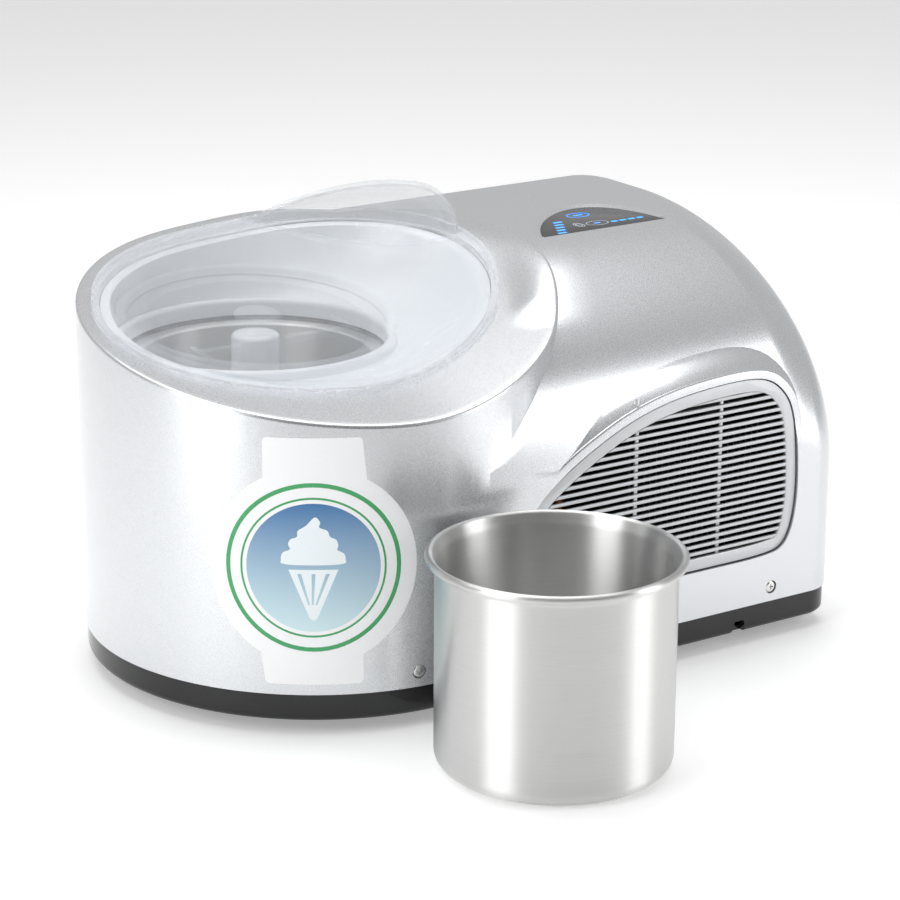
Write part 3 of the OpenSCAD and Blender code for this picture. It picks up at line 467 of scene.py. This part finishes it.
# %% The grille's hood: one outline on the front wall, flaring as it runs back into the roll
HOOD = [(38, 84), (44, 102), (58, 124), (76, 138), (98, 151), (124, 163), (152, 171),
        (182, 175), (214, 176), (234, 172), (248, 161), (256, 146), (260, 122), (261, 92),
        (257, 68), (247, 54), (228, 50), (70, 50), (50, 58), (40, 70)]


def rounded(line, n):
    """A smooth closed curve through the points of line, with n points to each side."""
    made = []
    count = len(line)
    for i in range(count):
        a, b, c, d = (np.array(line[(i + j) % count], float) for j in (-1, 0, 1, 2))
        for t in np.arange(n) / n:
            made.append(0.5 * (2 * b + (c - a) * t + (2 * a - 5 * b + 4 * c - d) * t ** 2
                               + (3 * b - a - 3 * c + d) * t ** 3))
    return made


def shrunk(line, inset):
    """The outline moved inwards; it runs clockwise."""
    count = len(line)
    made = []
    for i in range(count):
        way = np.array(line[(i + 1) % count]) - np.array(line[i - 1])
        way = way / np.linalg.norm(way)
        made.append(tuple(np.array(line[i]) + inset * np.array([way[1], -way[0]])))
    return made


# The long bottom edge is nearly straight, so it gets points of its own
HOOD_LINE = [tuple(p) for p in rounded(
    HOOD[:17] + [(190, 49.5), (150, 49.5), (110, 49.5)] + HOOD[17:], 4)]


def hood_solid(name):
    front = 1.2 - DRUM_R
    rows = [(0.0, 1.6), (0.15, 0.8), (0.8, 0.15), (1.6, 0.0)]
    rows += [(1.6 + 18.4 * t, -9 * (1 - (1 - t) ** 2)) for t in (0.2, 0.4, 0.6, 0.8, 1)]
    rows += [(60, -9)]
    return skin(name, [[(x, front + depth, z) for x, z in shrunk(HOOD_LINE, inset)]
                       for depth, inset in rows])


# %% Cutters: a prism through the deck, the panel's opening, vents and screw holes
def upright(name, line, low, high):
    return plate(name, [at(x, y, low) for x, y in line], Vector((0, 0, (high - low) * MM)))


def forward(name, line, front, back):
    return plate(name, [at(x, front, z) for x, z in line], Vector((0, (back - front) * MM, 0)))


def block(name, low, high):
    bpy.ops.object.select_all(action="DESELECT")
    bpy.ops.mesh.primitive_cube_add(size=1, location=(at(*low) + at(*high)) / 2)
    piece = bpy.context.object
    piece.name = name
    piece.scale = at(*high) - at(*low)
    only(piece)
    bpy.ops.object.transform_apply(location=True, rotation=True, scale=True)
    return piece


# %% Joining drum, housing and hood, then hollowing them
LID_MID, LID_A, LID_B = (-7, 12), 125, 109


def oval(grow, n, up=None):
    """An ellipse round the lid's middle; with up, it lies that far above the deck."""
    line = [(LID_MID[0] + (LID_A + grow) * cos(a), LID_MID[1] + (LID_B + grow) * sin(a))
            for a in turn(n)]
    return line if up is None else [(x, y, drum_z(x, y) + up) for x, y in line]


shell = drum_solid("shell", 0, BASE_TOP, 240, 2.0)
cut(shell, house_solid("house", 0, BASE_TOP, 12), "UNION")
cut(shell, hood_solid("hood"), "UNION")
print("outer shell", len(shell.data.polygons), "faces")
cut(shell, drum_solid("hollow_drum", WALL, BASE_TOP - 1, 96, 0))
cut(shell, house_solid("hollow_house", WALL, BASE_TOP - 1, 5))
print("hollow shell", len(shell.data.polygons), "faces")

# %% The glass's outline: a straight front edge and an arch that leans right
GLASS_TOP = HOUSE_H - 1.1


def glass_line(grow, steps=40):
    ends = np.array([(154, -14), (178, 38), (244, 78), (248, -14)], float)
    line = []
    for t in np.linspace(0, 1, steps + 1):
        share = [(1 - t) ** 3, 3 * t * (1 - t) ** 2, 3 * t * t * (1 - t), t ** 3]
        line.append(tuple(sum(s * e for s, e in zip(share, ends))))
    grown = shrunk(line, -grow)
    front = -14 - min(grow, 1.0)
    return [(x, max(y, front)) for x, y in grown]


# %% Cutting the deck's hole, the panel's opening, the glass's recess and the back
tool = upright("deck_hole", oval(-5, 160), 100, 300)
cut(shell, tool)
panel_hole = forward("panel_hole", shrunk(HOOD_LINE, 5.6), -DRUM_R - 2, -DRUM_R + 68)
cut(shell, panel_hole)
recess = mesh_piece("recess", [(*p, HOUSE_H - 1.6) for p in glass_line(0.4)]
                    + [(*p, HOUSE_H + 3) for p in glass_line(9.5)],
                    [tuple(range(40, -1, -1)), tuple(range(41, 82))]
                    + [(i, (i + 1) % 41, 41 + (i + 1) % 41, 41 + i) for i in range(41)])
cut(shell, recess)
cut(shell, upright("glass_hole", glass_line(0.3), HOUSE_H - 20, HOUSE_H + 5))


def back_cut(node, gap):
    """A hole through the back wall, a little larger than the node's outer face."""
    low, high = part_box(node)
    trim = 4
    x0, x1 = [(v - AXIS.x) / MM for v in (low[0], high[0])]
    z0, z1 = low[2] / MM, high[2] / MM
    cut(shell, block(node + "_hole", (x0 + trim - gap, DRUM_R - 8, z0 + trim - gap),
                     (x1 - trim + gap, DRUM_R + 8, z1 - trim + gap)))


back_cut("rear_grille", 0.3)
back_cut("inlet_socket", 0.2)
SCREW_R, SCREW_Z = 4, 34
SCREWS = [(237.5, DRUM_R, 90), (237.5, -DRUM_R, -90), (HOUSE_LEN, 60, 0), (HOUSE_LEN, -60, 0)]
SCREWS += [(DRUM_R * cos(radians(a)), DRUM_R * sin(radians(a)), a) for a in (98, -98)]


def screw_place(x, y, turned):
    """Where a screw drawn upright at the origin goes: lying out of the wall."""
    return (Matrix.Translation(at(x, y, SCREW_Z)) @ Matrix.Rotation(radians(turned), 4, "Z")
            @ Matrix.Rotation(radians(90), 4, "Y"))


for number, place in enumerate(SCREWS):
    bpy.ops.mesh.primitive_cylinder_add(vertices=40, radius=(SCREW_R + 0.15) * MM,
                                        depth=14 * MM)
    hole = bpy.context.object
    hole.matrix_world = screw_place(*place)
    cut(shell, hole)
only(shell)
shell.name = "case_shell"
done(shell, "machine", "casing_silver", PEARL, "casing", angle=28)


# %% [markdown]
# ## Base, feet and screws
# The base is a tray moulded in polished black. Its outline is the shell's, a little smaller,
# and its lower edge is rounded under. An outline that is extruded, bevelled below and inset
# above gives the tray in four strokes.

# %% The base tray
def body_outline(inset):
    corner = END_LEN - inset
    line = [(-(DRUM_R - inset) * sin(a), (DRUM_R - inset) * cos(a)) for a in turn(96, 0, 180)]
    line += [(0, -(DRUM_R - inset))]
    right, side = HOUSE_LEN - END_LEN, DRUM_R - END_LEN
    line += [(right + corner * sin(a), -side - corner * cos(a)) for a in turn(16, 0, 90)]
    line += [(right + corner, -side), (right + corner, side)]
    line += [(right + corner * cos(a), side + corner * sin(a)) for a in turn(16, 0, 90)][1:]
    line += [(right, side + corner)]
    return line


FOOT_H, FLOOR_TOP = 8, 11
tray = plate("base_tray", [at(x, y, FOOT_H) for x, y in body_outline(1)],
             Vector((0, 0, (BASE_TOP - FOOT_H) * MM)))


def pick(piece, mode, test):
    """Edit mode with only those faces or edges selected that pass the test."""
    only(piece)
    bpy.ops.object.mode_set(mode="EDIT")
    bpy.ops.mesh.select_all(action="DESELECT")
    bpy.ops.mesh.select_mode(type=mode)
    bpy.ops.object.mode_set(mode="OBJECT")
    for part in (piece.data.polygons if mode == "FACE" else piece.data.edges):
        corners = [piece.matrix_world @ piece.data.vertices[v].co for v in part.vertices]
        part.select = test(corners)
    bpy.ops.object.mode_set(mode="EDIT")


def all_at(height):
    return lambda corners: all(abs(c.z - height * MM) < 0.05 * MM for c in corners)


pick(tray, "FACE", all_at(BASE_TOP))
bpy.ops.mesh.inset(thickness=4.8 * MM)
bpy.ops.mesh.extrude_region_move(TRANSFORM_OT_translate={
    "value": Vector((0, 0, (FLOOR_TOP - BASE_TOP) * MM))})
pick(tray, "EDGE", all_at(FOOT_H))
bpy.ops.mesh.bevel(offset=4 * MM, segments=8, profile=0.5)
bpy.ops.object.mode_set(mode="OBJECT")
# The lip inside the shell that the screws go into
lip = plate("lip", [at(x, y, BASE_TOP - 8) for x, y in body_outline(3.6)],
            Vector((0, 0, 24.5 * MM)))
cut(lip, plate("lip_hollow", [at(x, y, BASE_TOP - 9) for x, y in body_outline(5.9)],
               Vector((0, 0, 30 * MM))))
cut(tray, lip, "UNION")
notch = plate("notch", [at(214 + x, -DRUM_R - 1, 12 + z) for x, z in
                        ((-6, -6), (6, -6), (3.5, 4.1), (-3.5, 4.1))], Vector((0, 8 * MM, 0)))
cut(tray, notch)
done(tray, "machine", "base_black", BLACK, "base_pan", angle=40)

# %% The rubber feet: one spun, three copies
FEET = [(-74, 84), (-74, -84), (250, 104), (250, -104)]
FOOT_SHAPE = [(0, 0), (5.5, 0), (6.9, 0.3), (8.1, 1.3), (8.8, 2.9), (9, 6.5), (9.6, 6.7),
              (10.5, 7), (10.5, 8), (0, 8)]
foot = spun("foot_1", FEET[0], FOOT_SHAPE, 48)


def copies(piece, names, moves):
    made = [piece]
    for name, move in zip(names, moves):
        copy = piece.copy()
        copy.data = piece.data.copy()
        copy.name = name
        copy.matrix_world = move @ piece.matrix_world
        bpy.context.scene.collection.objects.link(copy)
        made.append(copy)
    return made


steps = [Matrix.Translation(at(*p, 0) - at(*FEET[0], 0)) for p in FEET[1:]]
for number, piece in enumerate(copies(foot, ["foot_2", "foot_3", "foot_4"], steps)):
    done(piece, "machine", "rubber", RUBBER, *(["rubber_feet"] if number == 0 else []))

# %% The screws: a low domed cap with a cross recess
cap = spun("screw_1", (0, 0), [(0, -0.25), (1.8, -0.28), (2.9, -0.42), (3.55, -0.75),
                               (3.85, -1.2), (3.9, -3.2), (1.5, -3.2), (1.5, -12), (0, -12)], 40)
for turned in (0, 90):
    bpy.ops.mesh.primitive_cube_add(size=1, location=at(0, 0, -0.7))
    slot_tool = bpy.context.object
    slot_tool.scale = (3.4 * MM, 0.75 * MM, 1.5 * MM)
    slot_tool.rotation_euler.z = radians(turned)
    cut(cap, slot_tool)
cap.matrix_world = Matrix.Translation(-at(0, 0, 0)) @ cap.matrix_world
bpy.ops.object.transform_apply(location=True, rotation=True, scale=True)
heads = copies(cap, [f"screw_{i}" for i in range(2, 7)], [screw_place(*p) for p in SCREWS[1:]])
cap.matrix_world = screw_place(*SCREWS[0])
for number, piece in enumerate(heads):
    done(piece, "machine", "plated_steel", BRIGHT, *(["case_screws"] if number == 0 else []))


# %% [markdown]
# ## Grille
# The panel is a frame with rounded edges round a field of thin level slats. One slat is
# made and copied upwards, and the field is trimmed to the opening by its outline. Two
# uprights behind the slats keep them from whistling.

# %% The panel's frame
PANEL_Y = -DRUM_R + 1.6
panel = forward("grille_frame", shrunk(HOOD_LINE, 6.2), PANEL_Y, PANEL_Y + 3)
opening = forward("grille_opening", shrunk(HOOD_LINE, 14), PANEL_Y - 2, PANEL_Y + 6)
cut(panel, opening, keep=True)
use(panel, "BEVEL", width=0.7 * MM, segments=3, limit_method="ANGLE",
    angle_limit=radians(50))

# %% One slat, copied upwards and trimmed to the opening
SLAT_PITCH, SLAT_H = 4.5, 2.3
slat = block("slat", (34, PANEL_Y + 0.3, 56), (270, PANEL_Y + 1.9, 56 + SLAT_H))
use(slat, "BEVEL", width=0.5 * MM, segments=3)
tilt = Matrix.Translation(at(0, PANEL_Y, 56)) @ Matrix.Rotation(radians(14), 4, "X")
slat.matrix_world = tilt @ Matrix.Translation(-at(0, PANEL_Y, 56))
only(slat)
bpy.ops.object.transform_apply(location=True, rotation=True, scale=True)
SLATS = range(1, 27)
row = copies(slat, [f"slat_{i}" for i in SLATS],
             [Matrix.Translation((0, 0, SLAT_PITCH * MM * i)) for i in SLATS])
only(*row, slat)
bpy.ops.object.join()
slats = bpy.context.object
use(slats, "BOOLEAN", object=opening, operation="INTERSECT", solver="EXACT")
bpy.data.objects.remove(opening)
slats.name = "grille_slats"
BAR_X, BAR_W, BAR_LOW, BAR_HIGH = (132, 195), 2.5, 57, 171
bars = [block(f"bar_{number}", (x, PANEL_Y + 1.6, BAR_LOW), (x + BAR_W, PANEL_Y + 3, BAR_HIGH))
        for number, x in enumerate(BAR_X)]
done(panel, "machine", "grille_silver", GRILLE, "front_grille")
done(slats, "machine", "grille_silver", GRILLE)
for bar in bars:
    use(bar, "BEVEL", width=0.3 * MM, segments=2)
    done(bar, "machine", "grille_silver", GRILLE)


# %% [markdown]
# ## Touch panel
# A sheet of black glass lies in a sloped silver recess. The marks behind it are light
# guides, drawn as thin tiles that glow blue: two rows of bars, two rings and a mark for
# the timer.

# %% The glass
glass = upright("panel_glass", glass_line(0), HOUSE_H - 4, GLASS_TOP)
use(glass, "BEVEL", width=0.6 * MM, segments=3, limit_method="ANGLE", angle_limit=radians(60))
done(glass, "machine", "panel_glass", GLASS, "control_glass")

# %% Lit bars and rings on the glass
marks = []


def bar_mark(name, x, y, long, wide, turned=0.0):
    bpy.ops.object.select_all(action="DESELECT")
    bpy.ops.mesh.primitive_cube_add(size=1, location=at(x, y, GLASS_TOP))
    piece = bpy.context.object
    piece.name = name
    piece.scale = (long * MM, wide * MM, 0.12 * MM)
    piece.rotation_euler.z = radians(turned)
    only(piece)
    bpy.ops.object.transform_apply(location=False, rotation=True, scale=True)
    use(piece, "BEVEL", width=0.3 * MM, segments=2, limit_method="ANGLE",
        angle_limit=radians(60))
    return piece


def ring_mark(name, x, y, long, wide, thick=0.5):
    line = [(x + long * cos(a), y + wide * sin(a)) for a in turn(48)]
    inside = [(x + (long - thick) * cos(a), y + (wide - thick) * sin(a)) for a in turn(48)]
    piece = upright(name, line, GLASS_TOP - 0.06, GLASS_TOP + 0.06)
    cut(piece, upright("ring_hole", inside, GLASS_TOP - 1, GLASS_TOP + 1))
    return piece


for i in range(5):
    marks.append(bar_mark(f"mark_level_{i}", 171 + 3.4 * i, -9.5 + 6 * i, 6.4, 2.4))
for i in range(4):
    marks.append(bar_mark(f"mark_timer_{i}", 217 + 6.6 * i, -1.5, 4.6, 2.6))
marks.append(ring_mark("mark_ring_top", 207, 24, 8.2, 5.4))
marks.append(bar_mark("mark_dash_top", 207, 24, 6.5, 1.6))
marks.append(bar_mark("mark_dash_mid", 205, 0.5, 4.5, 1.8))
for piece in marks:
    first = ["control_lights"] if piece is marks[0] else []
    done(piece, "machine", "light_guides", BLUE_LIGHT, *first)
pale = [ring_mark("mark_ring_mid", 205, 0.5, 8, 5.2), ring_mark("mark_wave_1", 192, 2, 3.2, 5),
        ring_mark("mark_wave_2", 192, 2, 1.9, 3.2)]
for piece in pale:
    done(piece, "machine", "light_guides", WHITE_LIGHT)


# %% [markdown]
# ## Bowl, insert and paddle
# Under the lid the deck holds a pale insert: a dish that falls in a soft curve to the
# bowl's rolled lip. Its outside follows the tilted deck, its inside is a level circle, so it
# is skinned between the two. The fixed bowl below it is spun steel with a centre tube that
# the paddle's shaft comes up through.

# %% The insert, from its neck up over the dish to the lip and down again
BOWL = (-33, 17.5)
LIP_H, LIP_R, SEAT, SEAL = 199, 84, 186, 3
DISH_Z = LIP_H - 6
RING_N = 192


def level_ring(r, z):
    return [(BOWL[0] + r * cos(a), BOWL[1] + r * sin(a), z) for a in turn(RING_N)]


def dish_ring(f, drop):
    outside, inside = oval(-11, RING_N, -0.6), level_ring(LIP_R + 2, DISH_Z)
    g = 1 - (1 - f) ** 2.2
    return [(o[0] * (1 - f) + i[0] * f, o[1] * (1 - f) + i[1] * f,
             o[2] * (1 - g) + i[2] * g - drop) for o, i in zip(outside, inside)]


across = [0, 0.03, 0.07, 0.12, 0.2, 0.3, 0.4, 0.5, 0.6, 0.7, 0.8, 0.9, 1]
rolled = [level_ring(LIP_R - 3 + 3 * cos(a), LIP_H - 3 + 3 * sin(a)) for a in turn(12, 0, 180)]
insert = hoop("bowl_insert", [level_ring(LIP_R - 2, SEAT + SEAL)]
              + [level_ring(LIP_R - 2, DISH_Z - 3)]
              + [dish_ring(f, 2.4) for f in (0.9, 0.7, 0.5, 0.3, 0.15, 0)]
              + [oval(-5.4, RING_N, -WALL), oval(-5.4, RING_N, -0.5), oval(-5.9, RING_N, -0.3)]
              + [dish_ring(f, 0) for f in across] + [level_ring(LIP_R + 0.4, DISH_Z + 0.5)]
              + rolled + [level_ring(LIP_R - 6, LIP_H - 3), level_ring(LIP_R - 6, SEAT + SEAL)])
done(insert, "machine", "white_plastic", WHITE, "bowl_surround", angle=50)


# %% The fixed bowl and its centre tube
def bend(r, rc, z, t, n=10, back=False):
    """The rounded corner between a bowl's floor at z and its wall at r, t inside it."""
    angles = [radians(-90 + 90 * i / n) for i in range(n + 1)]
    if back:
        angles.reverse()
    return [(r - rc + (rc - t) * cos(a), z + rc + (rc - t) * sin(a)) for a in angles]


FIXED_FLOOR, FIXED_R, SHEET, BEND_R = 64.8, 70.2, 1.2, 12
TUBE_IN, TUBE_OUT, TUBE_TOP = 7.2, 8.4, FIXED_FLOOR + 90
fixed = spun("fixed_bowl_steel", BOWL, [(TUBE_IN, FIXED_FLOOR)]
             + bend(FIXED_R, BEND_R, FIXED_FLOOR, 0)
             + [(FIXED_R, SEAT - SHEET), (LIP_R - 2, SEAT - SHEET), (LIP_R - 2, SEAT),
                (FIXED_R - SHEET + 1, SEAT), (FIXED_R - SHEET, SEAT - 1)]
             + bend(FIXED_R, BEND_R, FIXED_FLOOR, SHEET, back=True)
             + [(TUBE_OUT, FIXED_FLOOR + SHEET), (TUBE_OUT, TUBE_TOP - 0.6),
                (TUBE_OUT - 0.6, TUBE_TOP), (TUBE_IN, TUBE_TOP), (TUBE_IN, FIXED_FLOOR)])
done(fixed, "machine", "bowl_steel", STEEL, "fixed_bowl", angle=40)

# %% The paddle's knob: a plug with a soft edge and a shallow finger dish on top
KNOB_R = 14.3
knob = spun("knob_cap", BOWL, [(0, 183), (KNOB_R, 183), (KNOB_R, 196.6), (KNOB_R - 0.3, 197.7),
                               (KNOB_R - 1, 198.5), (KNOB_R - 2.2, 199), (8, 198.9),
                               (4, 198.5), (0, 198.4)], 96)
done(knob, "paddle_drive", "white_plastic", WHITE, "paddle_knob", angle=50)

# %% [markdown]
# ## The second bowl
# Deep drawn from one sheet and then spun, so its wall is brushed in fine level lines. The
# wall runs straight up and turns out just under a rim that is rolled into a bead. Its
# centre tube lets it sit over the machine's own.

# %% The second bowl
PAIL_LOW, PAIL_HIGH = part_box("removable_bowl")
PAIL = [((a + b) / 2 - c) / MM for a, b, c in zip(PAIL_LOW[:2], PAIL_HIGH[:2], AXIS[:2])]
PAIL_H, RIM_R, PAIL_R, PAIL_BEND, BEAD = 124, 72.5, 67, 9, 2.3
bead = [(RIM_R - BEAD + BEAD * cos(a), PAIL_H - BEAD + BEAD * sin(a)) for a in turn(20, -90, 165)]
pail = spun("second_bowl_steel", PAIL, [(9.2, 0.4), (10, 0)] + bend(PAIL_R, PAIL_BEND, 0, 0)
            + [(PAIL_R, PAIL_H - 8.2), (PAIL_R + 0.3, PAIL_H - 6.6), (PAIL_R + 1.2, PAIL_H - 5.3),
               (RIM_R - BEAD - 0.6, PAIL_H - 2 * BEAD - 0.1)] + bead
            + [(RIM_R - 2 * BEAD - 0.4, PAIL_H - BEAD - 1.4), (PAIL_R - 0.4, PAIL_H - 5.6),
               (PAIL_R - SHEET, PAIL_H - 8.2)]
            + bend(PAIL_R, PAIL_BEND, 0, SHEET, back=True)
            + [(12, SHEET), (10.8, 2), (10.4, 3.4), (10.4, 85), (9.8, 86), (9.2, 85.4),
               (9.2, 0.4)], 160)
done(pail, "second_bowl", "bowl_steel", STEEL, "removable_bowl", angle=40)


# %% [markdown]
# ## Lid
# The lid is moulded clear plastic: an upright rim that follows the deck, a flat top, and a
# scoop raised over the filling mouth at the back right. The scoop rises from nothing,
# stays high and drops steeply at its right end. Its outer edge comes down onto the rim.

# %% The rim and the flat top
LID_UP, LID_RIM, LID_T = 0.5, 7, 2.4
MOUTH_A, MOUTH_B, SCOOP_H = 75, 6, 34
SILL_A, SILL_B, SILL_BOW = 80, 3, 27
LID_N = 240
# How far each ring is moved out, and its height above the deck: a rim with a soft edge
RIM_SHAPE = [(0, LID_UP), (0, LID_RIM - 1.6), (-0.3, LID_RIM - 0.8), (-0.8, LID_RIM - 0.2),
             (-1.6, LID_RIM), (-LID_T, LID_RIM), (-LID_T, LID_UP)]
rim = hoop("lid_rim", [oval(grow, LID_N, up) for grow, up in RIM_SHAPE])


def lid_point(degree, f=1.0):
    a = radians(degree)
    return np.array([LID_MID[0] + f * LID_A * cos(a), LID_MID[1] + f * LID_B * sin(a)])


def sill_y(x):
    """Depth of the filling mouth's front edge, which bows in front of a straight line."""
    p, q = lid_point(SILL_A), lid_point(SILL_B)
    t = (x - p[0]) / (q[0] - p[0])
    return 400 if t < 0 else p[1] * (1 - t) + q[1] * t - 4 * SILL_BOW * t * max(0, 1 - t)


def lid_slice(degree):
    a = radians(degree)
    x, w = LID_MID[0] - (LID_A - 1) * cos(a), (LID_B - 1) * sin(a)
    y0, y1 = LID_MID[1] - w, min(LID_MID[1] + w, sill_y(x))
    ys = [y0 + (y1 - y0) * i / 24 for i in range(25)]
    under = [(x, y, drum_z(x, y) + LID_RIM - LID_T) for y in ys]
    return under + [(x, y, drum_z(x, y) + LID_RIM) for y in reversed(ys)]


top = skin("lid_top", [lid_slice(d) for d in np.linspace(3, 176, 60)])


# %% The scoop
def scoop_rise(q):
    return sin(radians(90 * q / 0.78)) ** 0.85 if q < 0.78 else sqrt(
        max(0, 1 - ((q - 0.78) / 0.22) ** 2))


def scoop_point(q, s, off):
    a = lid_point(MOUTH_A, 0.97) * (1 - q) + lid_point(MOUTH_B, 0.97) * q
    b = lid_point(MOUTH_A * (1 - q) + MOUTH_B * q, 0.992)
    x, y = a * (1 - s) + b * s
    rise = (SCOOP_H - LID_RIM) * scoop_rise(q) * sqrt(max(0, 1 - s ** 2.4))
    return x, y, drum_z(x, y) + LID_RIM + off + rise


out = [sin(radians(90 * i / 14)) for i in range(15)]
scoop = skin("lid_scoop", [[scoop_point(q, s, -LID_T) for s in out]
                           + [scoop_point(q, s, 0) for s in reversed(out)]
                           for q in np.linspace(0, 1, 61)])
cut(rim, top, "UNION")
cut(rim, scoop, "UNION")
rim.name = "lid_clear"
done(rim, "lid_body", "clear_plastic", CLEAR, "lid", angle=40)


# %% [markdown]
# ## Label
# A film die cut as a disc with a tab above and below, stuck on the drum. The original print
# is replaced by a plain one: a green ring, a disc that pales upwards, and a cone of soft
# ice in white. Each print is a thin sheet wrapped on the drum, each a hair above the last.

# %% Wrapping a flat outline on the drum
LABEL_TURN, LABEL_Z = -122.7, 101.5


def film(name, line, lift, thick, holes=(), width=4.0):
    """A flat outline (across, up) cut into strips and wrapped on the drum at lift above it."""
    sheet = plate(name, [Vector((u * MM, 0, v * MM)) for u, v in line], Vector((0, thick * MM, 0)))
    for hole in holes:
        cut(sheet, plate("hole", [Vector((u * MM, -0.01, v * MM)) for u, v in hole],
                         Vector((0, 0.03, 0))))
    low, high = min(u for u, v in line), max(u for u, v in line)
    bpy.ops.object.mode_set(mode="EDIT")
    for i in range(1, int((high - low) / width) + 1):
        bpy.ops.mesh.select_all(action="SELECT")
        bpy.ops.mesh.bisect(plane_co=((low + width * i) * MM, 0, 0), plane_no=(1, 0, 0))
    bpy.ops.object.mode_set(mode="OBJECT")
    only(sheet)
    bpy.ops.object.transform_apply(location=True, rotation=True, scale=True)
    for vertex in sheet.data.vertices:
        u, depth, v = vertex.co / MM
        r, a = DRUM_R + lift + depth, radians(LABEL_TURN) + u / DRUM_R
        vertex.co = at(r * cos(a), r * sin(a), LABEL_Z + v)
    only(sheet)
    bpy.ops.object.mode_set(mode="EDIT")
    bpy.ops.mesh.select_all(action="SELECT")
    bpy.ops.mesh.normals_make_consistent(inside=False)
    bpy.ops.object.mode_set(mode="OBJECT")
    return sheet


def round_line(u, v, r, n=72, start=0, stop=360):
    return [(u + r * cos(a), v + r * sin(a)) for a in turn(n, start, stop)]


# %% The film itself: disc and tabs in one outline
DISC_R, TAB, TAB_TOP, TAB_LOW, TAB_EDGE = 59.5, 28, 76, -70, 2.5
lean = float(np.degrees(np.arccos(TAB / DISC_R)))
outline = round_line(0, 0, DISC_R, 48, -lean, lean)
outline += round_line(TAB - TAB_EDGE, TAB_TOP - TAB_EDGE, TAB_EDGE, 5, 0, 108)
outline += round_line(TAB_EDGE - TAB, TAB_TOP - TAB_EDGE, TAB_EDGE, 5, 90, 198)
outline += round_line(0, 0, DISC_R, 48, 180 - lean, 180 + lean)
outline += round_line(TAB_EDGE - TAB, TAB_LOW + TAB_EDGE, TAB_EDGE, 5, 180, 288)
outline += round_line(TAB - TAB_EDGE, TAB_LOW + TAB_EDGE, TAB_EDGE, 5, 270, 378)
base_film = film("label_film", outline, 0.06, 0.12)
done(base_film, "machine", "label_film", FILM, "label")

# %% Print: a disc that pales upwards
fade = FILM.copy()
fade.name = "blue_fade_ink"
tree = fade.node_tree
shader = next(n for n in tree.nodes if n.type == "BSDF_PRINCIPLED")
place = add(tree, "ShaderNodeTexCoord").outputs["Object"]
height = add(tree, "ShaderNodeSeparateXYZ", {"Vector": place}).outputs["Z"]
share = add(tree, "ShaderNodeMapRange", {
    "Value": height, "From Min": (LABEL_Z - 38) * MM, "From Max": (LABEL_Z + 38) * MM}).outputs[0]
ink = add(tree, "ShaderNodeMix", {0: share, 6: colour("#CFE9EE"), 7: colour("#2E6FA8")},
          data_type="RGBA").outputs[2]
tree.links.new(ink, shader.inputs["Base Color"])
PRINT = 0.2
disc = film("label_disc", round_line(0, 0, 38), PRINT, 0.03)
done(disc, "machine", "label_film", fade)
rings = [("label_ring_outer", 50, 47.5), ("label_ring_inner", 41.5, 40.3)]
for name, big, small in rings:
    ring = film(name, round_line(0, 0, big), PRINT, 0.03, [round_line(0, 0, small)])
    done(ring, "machine", "label_film", GREEN_INK)

# %% Print: a cone with three swirls of soft ice
swirl = [(-15, 2), (-18, 5), (-17, 9), (-13, 11), (-14, 14), (-12.5, 17), (-9, 18.5), (-8.5, 22),
         (-4, 25), (1, 30), (4, 27), (3.5, 24), (8, 22), (9.5, 18.5), (13, 16.5), (14, 13),
         (13.5, 10.5), (17, 8.5), (18, 5), (15, 2)]
swirl = [tuple(p) for p in rounded(swirl, 4)]
cone = [(-14, -1), (14, -1), (2.2, -30), (0, -31.5), (-2.2, -30)]
grooves = [[(-9 + d, -3.5), (-6.8 + d, -3.5), (-2 + d * 0.25, -22), (-3 + d * 0.25, -22)]
           for d in (0, 8, 16)]
done(film("label_ice", swirl, PRINT + 0.04, 0.03, width=3), "machine", "label_film", PALE_INK)
done(film("label_cone", cone, PRINT + 0.04, 0.03, grooves, width=3), "machine", "label_film",
     PALE_INK)


# %% [markdown]
# ## Inner pieces
# The frame's own shapes are right for what sits inside: bearings, pulleys, belt, motor,
# compressor, condenser, fan and pipes. They keep their meshes and get real finishes, except
# the condenser: its aluminium fins are painted near black as shade seen through the grille.

# %% Finishes for the frame's own nodes
INSIDE = {
    INNER: ["rear_grille", "inlet_socket", "bearing_housing", "large_pulley", "motor_pulley",
            "compressor_terminals", "fan_shroud", "fan_rotor"],
    RUBBER: ["surround_gasket", "shaft_seal", "drive_belt", "compressor_feet"],
    BRIGHT: ["lower_bearing", "upper_bearing", "drive_shaft", "motor_shaft"],
    MOTOR: ["motor_body", "motor_bracket", "fan_motor", "fan_bracket"],
    COPPER: ["evaporator_coil", "filter_drier", "suction_tube", "discharge_tube",
             "capillary_tube"],
    BOARD: ["control_board", "power_board"],
    # The condenser's near black is painted shade behind the grille's slats.
    WHITE: ["paddle"], TANK: ["compressor"], FINS_PAINTED_SHADE: ["condenser"], FOAM: ["foam_jacket"],
}
for material, names in INSIDE.items():
    for name in names:
        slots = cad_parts[name].material_slots
        for slot in slots:
            slot.material = material
print("nodes finished", sum(len(names) for names in INSIDE.values()))

# %% [markdown]
# ## The table
# A wide plane, almost white and slightly soft, so the machine throws a gentle shadow.

# %% The table
bpy.ops.object.select_all(action="DESELECT")
bpy.ops.mesh.primitive_plane_add(size=14, location=(0, 0, 0))
table = bpy.context.object
table.name = "table"
# The paper is lit from below as well, so that it stays white behind the machine
table.data.materials.append(finish("matt_white_paper", "#F4F4F4", "#F6F6F6", (30, 30, 30), 0.01,
                                   (0.5, 0.6), {"Emission Color": colour("#FFFFFF"),
                                                "Emission Strength": 0.3}))

# %% Selecting the table
only(table)
